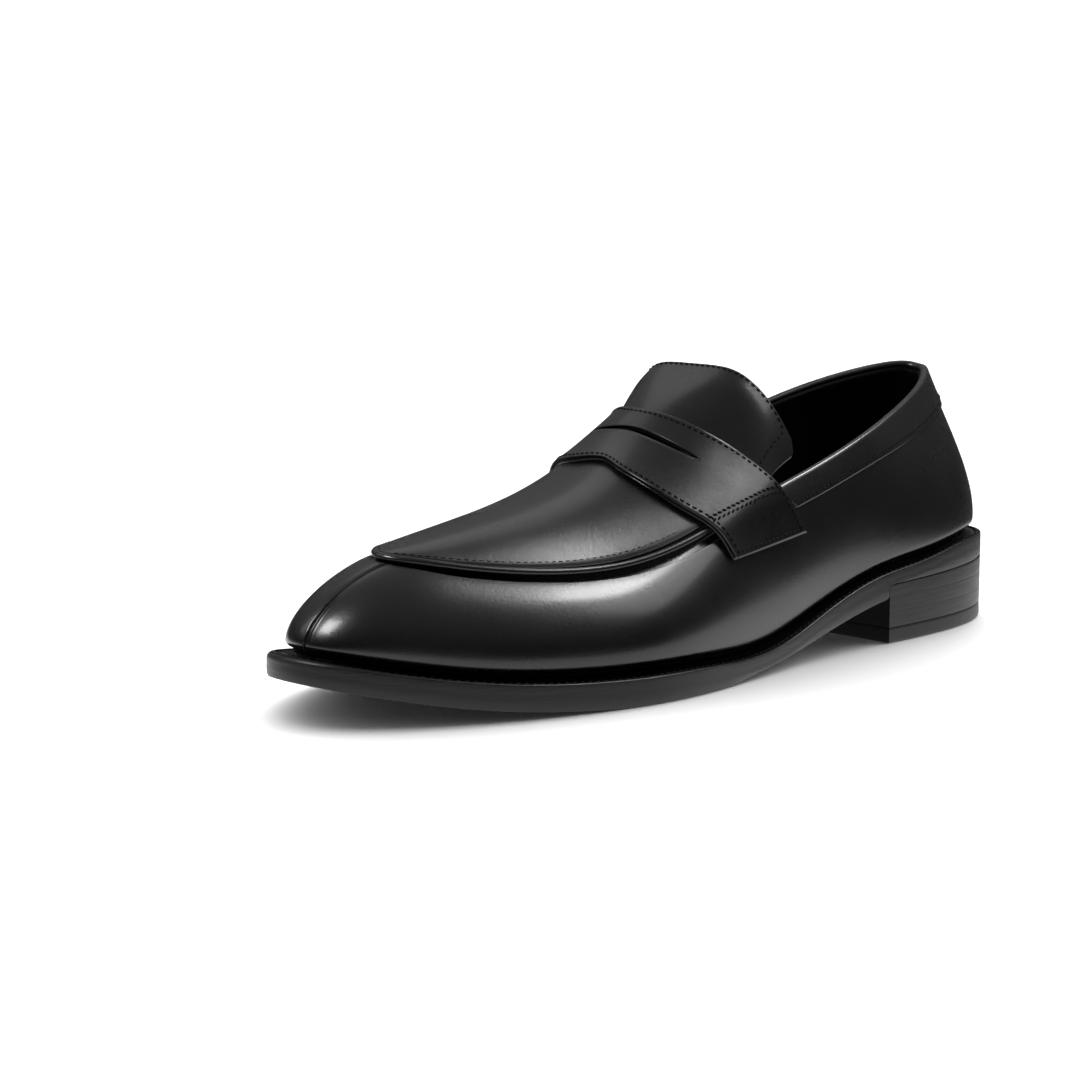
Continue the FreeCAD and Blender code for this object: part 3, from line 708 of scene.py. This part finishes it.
def thread():
    """Waxed linen thread."""
    material, tree, base = shader("waxed_thread", (0.001, 0.001, 0.001), 0.6, Specular_IOR_Level=0.12)
    twist = noise(tree, 2500.0, 2.0)
    link_color(tree, twist, (0.0006, 0.0006, 0.0006), (0.002, 0.002, 0.002))
    bump(tree, base, [(twist, 0.00006)], 0.8)
    return material


CALF = calf()
LINING = lining_leather()
EDGE = dressed_edge()
RUBBER = rubber()
MATT_AND_SHADE = matt_black_and_shade()
THREAD = thread()


# ------------------------ upper
def seam_s(t):
    """The toe seam runs up the middle and leans to the outer side just under the apron."""
    return 0.5 - SEAM_LEAN * np.clip((t - SEAM_LEAN_T) / (1 - SEAM_LEAN_T), 0, 1) ** 2


def wall_height(s, t):
    """Height above the wall's foot."""
    return wall(s, t)[..., 2] - wall(s, 0.0)[..., 2]


def wall_relief(s, t):
    """Toe seam, tuck where the wall meets the welt, and step down under the apron's rim."""
    across = (s - seam_s(t)) * GIRTH
    low = smooth((SEAM_OPEN_T - t) / 0.15)
    zigzag = np.abs((t * SEAM_TEETH) % 1.0 * 2 - 1) - 0.5
    crack = across - SEAM_SWAY * zigzag * low
    seam = -(SEAM_DEPTH + SEAM_OPEN_DEPTH * low) * bell(crack, 0.3 + 0.3 * low)
    seam -= SEAM_DEPTH * bell(across, 1.8)
    seam += SEAM_LIP * bell(across + 1.7, 0.8) * low
    tuck = -TUCK_DEPTH * bell(np.clip(wall_height(s, t), 0, None), TUCK_HEIGHT, 2.2)
    away = np.abs(s - 0.5)
    from_top = np.linalg.norm(wall(s, t) - wall(s, 1.0), axis=-1)
    reach = STEP_HEIGHT + STEP_EXTRA * smooth((away - 0.01) / 0.07)
    step = -STEP_DEPTH * smooth((reach - from_top) / 0.55) * smooth((t - 0.6) / 0.1)
    step = step * smooth((away - 0.006) / 0.03) * smooth((STEP_END - away) / 0.03)
    return seam * smooth((0.97 - t) / 0.05) + tuck + step


def make_walls():
    """The two side walls, with their points closest together at the toe seam."""
    ts = np.concatenate([[-0.045, -0.02],
                         np.linspace(0, WALL_FOOT_T, 15)[:-1],
                         np.linspace(WALL_FOOT_T, WALL_RIM_T, 32)[:-1],
                         np.linspace(WALL_RIM_T, WALL_TOP, 46)])
    shares = 1 - (1 - np.linspace(0, 1, 260)) ** 1.8
    for name, side in (("outer_wall", 1), ("inner_wall", -1)):
        share, t = np.meshgrid(shares, ts, indexing="ij")
        middle = seam_s(t) if side > 0 else 1 - seam_s(t)
        s = share * middle if side > 0 else 1 - share * middle
        outer = offset(wall, s, t, wall_relief(s, t))
        inner = offset(wall, s, t, -LEATHER - WALL_FOOT_EXTRA * (t < 0.1))
        quads = grid_quads(len(shares), len(ts))
        if side > 0:
            quads = quads[:, ::-1]
        piece = make_mesh(name, *thick(outer, inner, quads, 2, 0.5), CALF, "upper_leather")
        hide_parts(name)


def make_apron():
    """Sheet over the toes whose rim is pressed down a little."""
    us = np.concatenate([np.linspace(APRON_TIP, 0.6, 18)[:-1], np.linspace(0.6, APRON_REAR, 120)])
    vs = np.sin(np.linspace(-1, 1, 97) * 1.5)
    vs = vs / vs[-1] * APRON_EDGE
    u, v = np.meshgrid(us, vs, indexing="ij")
    from_side = (APRON_EDGE - np.abs(v)) * half_width(us)[:, None]
    from_tip = (u - APRON_TIP) * APRON_TIP_MM
    crease = -APRON_PRESS * bell(np.minimum(from_side, from_tip), APRON_PRESS_WIDTH)
    outer = offset(top, u, v, APRON_LIFT + APRON_THICK + crease)
    inner = offset(top, u, v, APRON_LIFT)
    quads = grid_quads(len(us), len(vs))[:, ::-1]
    piece = make_mesh("apron", *thick(outer, inner, quads, 5, 0.9), CALF, "upper_leather")
    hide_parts("apron")


def make_bead():
    """Rolled edge round the apron, along the wall's top."""
    s0 = float(side_s(BEAD_REAR, 1))
    s = np.linspace(s0, 1 - s0, 300)
    ahead = wall(s + NUDGE, 1.0) - wall(s - NUDGE, 1.0)
    out = unit(np.stack([-ahead[:, 1], ahead[:, 0], np.zeros(len(s))], -1))
    line = wall(s, 1.0) + out * BEAD_OUT + np.array([0, 0, BEAD_UP])
    piece = make_mesh("apron_bead", *tube(line, BEAD_RADIUS, 16), CALF, "upper_leather")
    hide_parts("apron_bead")


def tongue_surface(share, across):
    """Tongue from under the strap (share = 0) to its end (1), across from inner to outer side."""
    share, across = np.broadcast_arrays(np.asarray(share, float), np.asarray(across, float))
    end = TONGUE_END - 0.11 * np.clip((np.abs(across) - 0.78) / 0.22, 0, None) ** 2
    u = TONGUE_ROOT + (end - TONGUE_ROOT) * share
    v = across * TONGUE_WIDTH * (1 - 0.04 * np.clip((share - 0.84) / 0.16, 0, None) ** 2)
    p = arch(u, v, CROWN + (TONGUE_CROWN - CROWN) * smooth((u - TONGUE_FREE) / 1.7))
    p[..., 2] -= 0.9 * np.abs(v) ** 4 * smooth((7.0 - u) / 0.6)
    return p


def tongue_row():
    """Route of the tongue's sewing: up one side, round both corners and down the other."""
    sides = np.linspace(0.4, 0.93, 50)
    corner = np.linspace(0, math.pi / 2, 14)
    shares = np.concatenate([sides, 0.93 + 0.03 * np.sin(corner), np.full(60, 0.96),
                             0.93 + 0.03 * np.cos(corner), sides[::-1]])
    across = np.concatenate([np.full(50, 0.935), 0.865 + 0.07 * np.cos(corner),
                             np.linspace(0.85, -0.85, 60),
                             -0.865 - 0.07 * np.sin(corner), np.full(50, -0.935)])
    return shares, across


def make_tongue():
    """Tongue, its lining and its sewing."""
    shares = np.linspace(0, 1, 90)
    across = np.sin(np.linspace(-1, 1, 101) * 1.45) / math.sin(1.45)
    points, faces = sheet(tongue_surface, shares, across, -0.4, 1.0, flip=True)
    piece = make_mesh("tongue", points, faces, CALF, "upper_leather", body=None)
    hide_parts("tongue", "tongue_root")
    points, faces = sheet(tongue_surface, np.linspace(0.05, 0.985, 60), np.linspace(-0.975, 0.975, 81),
                          -1.3, -0.45, flip=True)
    lining = make_mesh("tongue_lining", points, faces, LINING, "lining_leather", body=None)
    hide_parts("tongue_lining")
    row = row_on(tongue_surface, *tongue_row(), 1.0, 2.3, radius=0.27)
    sewing = make_mesh("tongue_stitching", *row, THREAD, "thread", body=None)
    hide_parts("tongue_stitching")
    start = to_frame(top(TONGUE_BEND[0], 0.0))
    end = to_frame(top(TONGUE_BEND[1], 0.0))
    for part in (piece, lining, sewing):
        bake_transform(part)


def slot_edges(b):
    """Front and rear lip of the slot across the strap, as shares of its width."""
    share = np.clip((b - SLOT_B[0]) / (SLOT_B[1] - SLOT_B[0]), 0, 1)
    bow = 4 * share * (1 - share)
    rear = 0.51 + 0.09 * share + 0.09 * bow
    return rear - 0.085 * bow ** 0.8 * (0.65 + 0.6 * share), rear


def strap_sheet():
    """Strap in two halves of rows, before and behind the slot, which share points beyond its ends."""
    bs = np.concatenate([np.linspace(-1, SLOT_B[0], 52)[:-1],
                         np.linspace(SLOT_B[0], SLOT_B[1], 81),
                         np.linspace(SLOT_B[1], 1, 48)[1:]])
    front, rear = slot_edges(bs)
    half = np.linspace(0, 1, 22)[:, None]
    a = np.concatenate([front * half, rear + (1 - rear) * half])
    b = np.broadcast_to(bs, a.shape)
    lip = len(half)
    closed = rear - front < 1e-6
    number = np.arange(a.size).reshape(a.shape)
    number[lip, closed] = number[lip - 1, closed]
    quads = []
    for i in range(len(a) - 1):
        if i == lip - 1:
            continue
        for k in range(len(bs) - 1):
            quads.append((number[i, k], number[i, k + 1], number[i + 1, k + 1], number[i + 1, k]))
    outer = offset(strap, a, b, STRAP_THICK)
    inner = offset(strap, a, b, 0.0)
    points, faces = thick(outer, inner, [q[::-1] for q in quads], 4, 1.0)
    used = sorted({k for face in faces for k in face})
    renumber = {k: i for i, k in enumerate(used)}
    faces = [tuple(renumber[k] for k in face) for face in faces]
    return points[used], faces, 2 * len(quads)


def make_strap():
    """Saddle strap with its slot, and its sewing: both edges, both ends and two crossed rows."""
    points, faces, first_edge = strap_sheet()
    piece = make_mesh("saddle_strap", points, faces, CALF, "upper_leather")
    # Painted shade: the strap's front edge, facing forward and down, is made dark and dull, besides
    # looking like a raw edge.
    raw_edge_and_shade_faces(piece, (0.9, 0.0, -0.2), 0.55, first_edge)
    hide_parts("saddle_strap")
    edge = np.linspace(-0.985, 0.985, 260)
    rows = [row_on(strap, 0.055, edge, STRAP_THICK, 2.2, radius=0.26),
            row_on(strap, 0.945, edge, STRAP_THICK, 2.2, radius=0.26)]
    for side in (-1, 1):
        end = np.linspace(0.08, 0.92, 40)
        rows.append(row_on(strap, end, side * 0.972, STRAP_THICK, 2.2, radius=0.26))
        for b_row, slant in ((0.735, 0.6), (0.762, -0.6)):
            rows.append(row_on(strap, np.linspace(0.03, 0.97, 50), side * b_row, STRAP_THICK, 2.1,
                               slant=slant, radius=0.36))
    sew("strap_stitching", rows)


def collar_frame(s):
    """Point on the top line, and the outward and upward directions of the wall there."""
    edge = wall(s, 1.0)
    up = unit(edge - wall(s, 0.96))
    ahead = unit(wall(s + NUDGE, 1.0) - wall(s - NUDGE, 1.0))
    out = unit(np.cross(up, ahead))
    flat = np.concatenate([foot_normal(s), np.zeros(np.shape(s) + (1,))], -1)
    out = out * np.sign(np.sum(out * flat, -1, keepdims=True))
    return edge, out, up


def collar_s(share, t):
    """s of the band's column share, from -1 to 1. The band is longer at its upper edge."""
    low = COLLAR_END[0] / RIB_COUNT
    high = COLLAR_END[1] / RIB_COUNT
    return (low + (high - low) * np.clip((t - 1 + COLLAR_WIDTH) / COLLAR_LEAN_T, 0, 1)) * share


def collar_layer(shares, height, radius):
    """One face of the band: up the wall's outside, over the top line and down the inside."""
    edge, out, up = collar_frame(shares * COLLAR_END[1] / RIB_COUNT)
    columns = [offset(wall, collar_s(shares, t), t, height)
               for t in np.linspace(1 - COLLAR_WIDTH, COLLAR_ROLL_T, 18)]
    for turn in np.radians(np.linspace(0, 180, 15)):
        columns.append(edge + out * (radius * math.cos(turn) - COLLAR_FOLD)
                       + up * (radius * math.sin(turn) - COLLAR_DROP))
    for drop in (0.8, 1.8, 3.0):
        columns.append(edge - out * (radius + COLLAR_FOLD + 0.05 * drop) - up * (COLLAR_DROP + drop))
    return np.stack(columns, 1)


def make_collar():
    shares = np.linspace(-1, 1, 260)
    outer = collar_layer(shares, COLLAR_FACE, COLLAR_ROLL)
    inner = collar_layer(shares, 0.15, COLLAR_FOLD + 0.1)
    quads = grid_quads(*outer.shape[:2])[:, ::-1]
    piece = make_mesh("collar_band", *thick(outer, inner, quads), CALF, "upper_leather")
    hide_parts("collar_band")
    s = np.linspace(-0.995, 0.995, 400) * COLLAR_END[0] / RIB_COUNT
    sew("collar_stitching", [row_on(wall, s, 1 - COLLAR_WIDTH + 0.032, COLLAR_FACE, 2.0, radius=0.26)])


def make_back_strip():
    """Narrow strip over the heel seam, with a row of sewing near each edge."""
    ss = np.linspace(-STRIP_HALF, STRIP_HALF, 17)
    ts = np.linspace(0.10, 0.785, 60)
    piece = make_mesh("back_strip", *sheet(wall, ss, ts, 0.05, 1.0), CALF, "upper_leather")
    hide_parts("back_strip")
    rows = [row_on(wall, s, np.linspace(0.12, 0.77, 60), 1.0, 2.4, radius=0.28)
            for s in (-STRIP_ROW, STRIP_ROW)]
    sew("back_strip_stitching", rows)


def make_linings():
    """One lining round the whole wall, and one under the apron."""
    ss = np.linspace(-0.5, 0.5, 321)
    ts = np.linspace(0.0, 0.978, 40)
    s, t = np.meshgrid(ss, ts, indexing="ij")
    quads = grid_quads(len(ss), len(ts))[:, ::-1]
    shell = thick(offset(wall, s, t, -2.25), offset(wall, s, t, -3.0), quads, 1, 0.5)
    piece = make_mesh("quarter_lining", *shell, LINING, "lining_leather")
    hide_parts("outer_lining", "inner_lining", "heel_grip")
    us = np.linspace(0.9, 5.9, 60)
    shell = sheet(top, us, np.linspace(-0.92, 0.92, 41), -1.3, -0.4, flip=True)
    piece = make_mesh("apron_lining", *shell, LINING, "lining_leather")
    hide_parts("apron_lining")


# ------------------------ sole
def ledge_point(s, out_share, out_mm=0.0):
    """Point on the sole's plan: out_share of the ledge's width beyond the wall's foot."""
    reach = ledge_loop(s)[..., 0] * out_share + out_mm
    return foot(s) + foot_normal(s) * reach[..., None]


def raised(xy, z):
    """Points of a plan with their heights."""
    return np.concatenate([xy, z[:, None]], 1)


def shrunk(outline, z_of):
    """Rings that fill an outline, each nearer its middle."""
    rings = []
    for k in range(1, FILL_RINGS + 1):
        xy = outline[:, :2] * (1 - k / (FILL_RINGS + 0.5))
        rings.append(raised(xy, z_of(xy[:, 0])))
    return rings


def make_welt():
    """Welt whose upper edge is rounded, most of all at the toe, and its sewing."""
    s = np.linspace(0, 1, RING_COUNT, endpoint=False)
    r = 0.5 + 1.9 * bell(s - 0.54, 0.07)
    profile = [(0, -2.0, -3.0), (0, -2.0, -1.6), (0, 0.2, -1.0),
               (0.3, 0.0, -0.5), (0.55, 0, -0.35), (0.7, 0, -0.05)]
    for turn in np.linspace(0, math.pi / 2, 6):
        profile.append((1, -r * (1 - math.sin(turn)), -r * (1 - math.cos(turn))))
    profile += [(1, 0.0, -2.6), (1, 0.0, -3.0)]
    columns = []
    for share, extra, height in profile:
        xy = ledge_point(s, share, extra)
        columns.append(raised(xy, ledge_z(xy[:, 0]) + height))
    m = len(profile)
    faces = []
    for i in range(RING_COUNT):
        j = (i + 1) % RING_COUNT
        for k in range(m):
            n = (k + 1) % m
            faces.append((i * m + k, j * m + k, j * m + n, i * m + n))
    points = np.stack(columns, 1).reshape(-1, 3)
    piece = make_mesh("welt", points, faces, EDGE, "sole_leather")
    # Painted shade: the welt's upward faces, in the shadow under the wall's tuck, are made dark and dull.
    raw_edge_and_shade_faces(piece, (0.0, 0.0, 1.0), 0.9)
    crisp(piece, 35.0)
    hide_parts("welt")
    xy = ledge_point(np.linspace(0, 1, 700), 0.55)
    line = raised(xy, ledge_z(xy[:, 0]) - 0.3)
    up = np.tile([0.0, 0.0, 1.0], (len(line), 1))
    sew("welt_stitching", [stitches(line, up, 2.6, radius=0.32, share=0.7)])


def seat_z(x):
    """Top of the heel block."""
    return SEAT_FRONT_Z + (SEAT_BACK_Z - SEAT_FRONT_Z) * (BREAST_X - x) / (BREAST_X - LEDGE_X[0])


def tread_z(x):
    """Underside of the outsole, which is flat where it rests on the ground."""
    low = np.maximum(ledge_z(x) - sole_depth(x), 0.0)
    return np.where(x < BREAST_X, seat_z(x), low)


def make_outsole():
    """Edge that follows the plan, with a slightly drawn-in foot, and a full tread."""
    fine = np.linspace(0, 1, 20001)
    ahead = ledge_point(fine, 1.0)[:, 0] > BREAST_X
    turns = fine[np.nonzero(ahead[1:] != ahead[:-1])[0]] + 0.5 / 20000
    s = np.sort(np.concatenate([np.linspace(0, 1, 480, endpoint=False), turns - 5e-5, turns + 5e-5]))
    low = tread_z(ledge_point(s, 1.0)[:, 0])
    rows = []
    # Extra mm, share of the edge's height, and drop under the ledge, of which one is given.
    profile = ((0.0, None, OUTSOLE_DROP), (0.0, None, -3.4), (0.05, None, -4.4),
               (0.05, 0.35, None), (0.0, 0.12, None), (-0.4, 0.0, None))
    for extra, depth_share, drop in profile:
        xy = ledge_point(s, 1.0, extra)
        high = ledge_z(xy[:, 0])
        z = high + drop if drop is not None else low + (high - low) * depth_share
        rows.append(raised(xy, z))
    roof = shrunk(rows[0], lambda x: ledge_z(x) + OUTSOLE_DROP)
    rings = roof[::-1] + rows + shrunk(rows[-1], tread_z)
    points = np.concatenate(rings)
    n = len(s)
    faces = []
    for r in range(len(rings) - 1):
        faces += band_quads(r, r + 1, n)
    faces.append(tuple(range(n))[::-1])
    faces.append(tuple((len(rings) - 1) * n + i for i in range(n)))
    piece = make_mesh("outsole", points, [f[::-1] for f in faces], EDGE, "sole_leather")
    raw_edge_and_shade_faces(piece, (0.0, 0.0, -1.0), 0.6)
    crisp(piece, 35.0)
    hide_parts("outsole")


def heel_plan(inset):
    """Heel's outline from the outer end of the breast round the back to its inner end."""
    s = np.linspace(-0.35, 0.35, 2400)
    xy = ledge_point(s, 1.0, -inset)
    keep = xy[xy[:, 0] < BREAST_X]
    at = lengths(keep)
    x = np.linspace(0, at[-1], HEEL_COUNT)
    return np.stack([np.interp(x, at, keep[:, 0]), np.interp(x, at, keep[:, 1])], 1)


def make_lift(name, low, high, material, node_slot, bevel):
    """One heel lift: low and high are heights, numbers or functions of x."""
    low_of = low if callable(low) else (lambda x: np.full(np.shape(x), low))
    high_of = high if callable(high) else (lambda x: np.full(np.shape(x), high))
    rows = []
    profile = ((bevel, 1.0), (bevel * 0.3, 0.93), (0.0, 0.8),
               (0.0, 0.2), (bevel * 0.3, 0.07), (bevel, 0.0))
    for inset, share in profile:
        xy = heel_plan(inset)
        xy[:, 0] -= np.clip(xy[:, 0] - BREAST_X + 1.0, 0, 1) * inset
        lo, hi = low_of(xy[:, 0]), high_of(xy[:, 0])
        rows.append(raised(xy, lo + (hi - lo) * share))
    n = len(rows[0])
    points = np.concatenate(rows)
    faces = []
    for r in range(len(rows) - 1):
        for i in range(n):
            j = (i + 1) % n
            faces.append((r * n + i, (r + 1) * n + i, (r + 1) * n + j, r * n + j))
    for r, flip in ((0, False), (len(rows) - 1, True)):
        half = n // 2
        for i in range(half - 1):
            quad = (r * n + i, r * n + i + 1, r * n + n - 2 - i, r * n + n - 1 - i)
            faces.append(quad if not flip else quad[::-1])
    piece = make_mesh(name, points, faces, material, node_slot)
    edges = piece.modifiers.new("crease", "WEIGHTED_NORMAL")
    edges.keep_sharp = True
    crisp(piece, 40.0)
    # Painted shade: the breast, in shadow under the arch, is made dark and dull.
    raw_edge_and_shade_faces(piece, (1.0, 0.0, 0.0), 0.8)
    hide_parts(name)


def make_heel():
    make_lift("top_lift", 0.0, TOP_LIFT, RUBBER, "rubber", 0.3)
    lower, upper = LIFT_JOINTS
    make_lift("heel_lift_lower", TOP_LIFT + 2 * LIFT_GAP, lower - LIFT_GAP, EDGE, "sole_leather", 0.02)
    make_lift("heel_lift_middle", lower, upper - LIFT_GAP, EDGE, "sole_leather", 0.02)
    make_lift("heel_lift_upper", upper, lambda x: seat_z(x) - LIFT_GAP, EDGE, "sole_leather", 0.03)


def make_seams():
    """Sewing of the toe seam, two slanted rows, and of the apron, one row down each side."""
    t = np.linspace(0.05, 0.93, 120)
    rows = []
    for side, slant in ((-1, 0.9), (1, -0.9)):
        s = seam_s(t) + side * SEAM_SEWING / GIRTH
        rows.append(row_on(wall, s, t, -0.75, 1.7, radius=0.24, slant=slant))
    sew("toe_seam_stitching", rows)
    rows = []
    for side in (-1, 1):
        u = np.linspace(4.85, 0.45, 220)
        v = side * (APRON_EDGE - APRON_ROW / half_width(u))
        rows.append(row_on(top, u, v, APRON_THICK + 0.47, 2.3, radius=0.13))
    sew("apron_stitching", rows)


make_walls()
make_apron()
make_bead()
make_tongue()
make_strap()
make_collar()
make_back_strip()
make_linings()
make_welt()
make_outsole()
make_heel()
make_seams()

# Hidden pieces keep their CAD shape and get their own finish.
for material, nodes in (
        (LINING, ("sock_liner", "insole_board", "cork_filler", "toe_puff", "heel_counter")),
        (EDGE, ("shank", "heel_nails"))):
    for node in nodes:
        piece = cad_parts[node]
        piece.data.materials.clear()
        piece.data.materials.append(material)


# ------------------------ stage, camera, light
def make_floor():
    """White table. Its shine in the leather fades beyond the pool of light round the shoe."""
    material, tree, base = shader("floor", (0.95, 0.95, 0.95), 0.6, Specular_IOR_Level=0.1)
    soft = noise(tree, 3.0, 2.0)
    link_roughness(tree, soft, 0.55, 0.65)
    place = tree.nodes.new("ShaderNodeTexCoord")
    away = tree.nodes.new("ShaderNodeVectorMath")
    away.operation = "LENGTH"
    tree.links.new(place.outputs["Object"], away.inputs[0])
    pool = tree.nodes.new("ShaderNodeEmission")
    shine = remap(tree, away.outputs["Value"], *FLOOR_POOL, FLOOR_SHINE, FLOOR_DIM)
    tree.links.new(shine, pool.inputs["Strength"])
    ray = tree.nodes.new("ShaderNodeLightPath")
    mix = tree.nodes.new("ShaderNodeMixShader")
    tree.links.new(ray.outputs["Is Glossy Ray"], mix.inputs["Fac"])
    tree.links.new(base.outputs["BSDF"], mix.inputs[1])
    tree.links.new(pool.outputs["Emission"], mix.inputs[2])
    tree.links.new(mix.outputs["Shader"], tree.nodes["Material Output"].inputs["Surface"])
    mesh = bpy.data.meshes.new("floor")
    corners = [(x * FLOOR_SIZE, y * FLOOR_SIZE, 0.0) for x, y in ((-1, -1), (1, -1), (1, 1), (-1, 1))]
    mesh.from_pydata(corners, [], [(0, 1, 2, 3)])
    mesh.materials.append(material)
    floor = bpy.data.objects.new("floor", mesh)
    floor.location.z = -FLOOR_DROP
    bpy.context.scene.collection.objects.link(floor)


def make_camera():
    data = bpy.data.cameras.new("camera")
    data.lens = CAMERA_LENS
    data.sensor_width = 36.0
    camera = bpy.data.objects.new("camera", data)
    camera.location = to_frame(CAMERA_PLACE)
    camera.rotation_euler = (math.pi / 2 - CAMERA_TILT, 0.0, math.pi - CAMERA_TURN)
    bpy.context.scene.collection.objects.link(camera)
    bpy.context.scene.camera = camera


def softbox(name, turn, tilt, distance, size, radiance):
    """Rectangular light that faces the shoe. Turn is from +X, tilt from the floor, in degrees."""
    turn, tilt = math.radians(turn), math.radians(tilt)
    way = Vector((math.cos(tilt) * math.cos(turn), math.cos(tilt) * math.sin(turn), math.sin(tilt)))
    data = bpy.data.lights.new(name, "AREA")
    data.shape = "RECTANGLE"
    data.size, data.size_y = size
    data.energy = radiance * math.pi * size[0] * size[1]
    lamp = bpy.data.objects.new(name, data)
    lamp.location = Vector(LIGHT_AIM) + way * distance
    lamp.rotation_mode = "QUATERNION"
    lamp.rotation_quaternion = way.to_track_quat("Z", "Y")
    lamp.visible_camera = False
    lamp.visible_diffuse = False
    bpy.context.scene.collection.objects.link(lamp)
    return lamp


def make_room():
    """White room for the camera and for diffuse light; for reflections it is dark near the floor."""
    world = bpy.data.worlds.new("studio")
    bpy.context.scene.world = world
    world.use_nodes = True
    tree = world.node_tree
    background = tree.nodes["Background"]
    background.inputs["Color"].default_value = (1, 1, 1, 1)
    place = tree.nodes.new("ShaderNodeTexCoord")
    parts = tree.nodes.new("ShaderNodeSeparateXYZ")
    tree.links.new(place.outputs["Generated"], parts.inputs["Vector"])
    high = remap(tree, parts.outputs["Z"], 0.12, 0.6, ROOM_LOW, ROOM_HIGH)
    facing = tree.nodes.new("ShaderNodeVectorMath")
    facing.operation = "DOT_PRODUCT"
    tree.links.new(place.outputs["Generated"], facing.inputs[0])
    facing.inputs[1].default_value = Vector(SWEEP_WAY).normalized()
    sweep = remap(tree, facing.outputs["Value"], 0.2, 0.95, SWEEP_DIM, SWEEP_BRIGHT)
    ray = tree.nodes.new("ShaderNodeLightPath")
    seen = choose(tree, ray.outputs["Is Camera Ray"], sweep, ROOM_WHITE)
    tree.links.new(choose(tree, ray.outputs["Is Glossy Ray"], seen, high), background.inputs["Strength"])


def choose(tree, switch, off, on):
    """One value or another, by a switch of 0 or 1. Each is a number or a socket."""
    mix = tree.nodes.new("ShaderNodeMix")
    tree.links.new(switch, mix.inputs["Factor"])
    for key, value in (("A", off), ("B", on)):
        if isinstance(value, float):
            mix.inputs[key].default_value = value
        else:
            tree.links.new(value, mix.inputs[key])
    return mix.outputs["Result"]


def make_light():
    make_room()
    for name, (turn, tilt, distance, size, radiance) in SOFTBOXES.items():
        softbox(name, turn, tilt, distance, size, radiance)


make_floor()
make_camera()
make_light()
bpy.context.scene.view_settings.view_transform = "Standard"
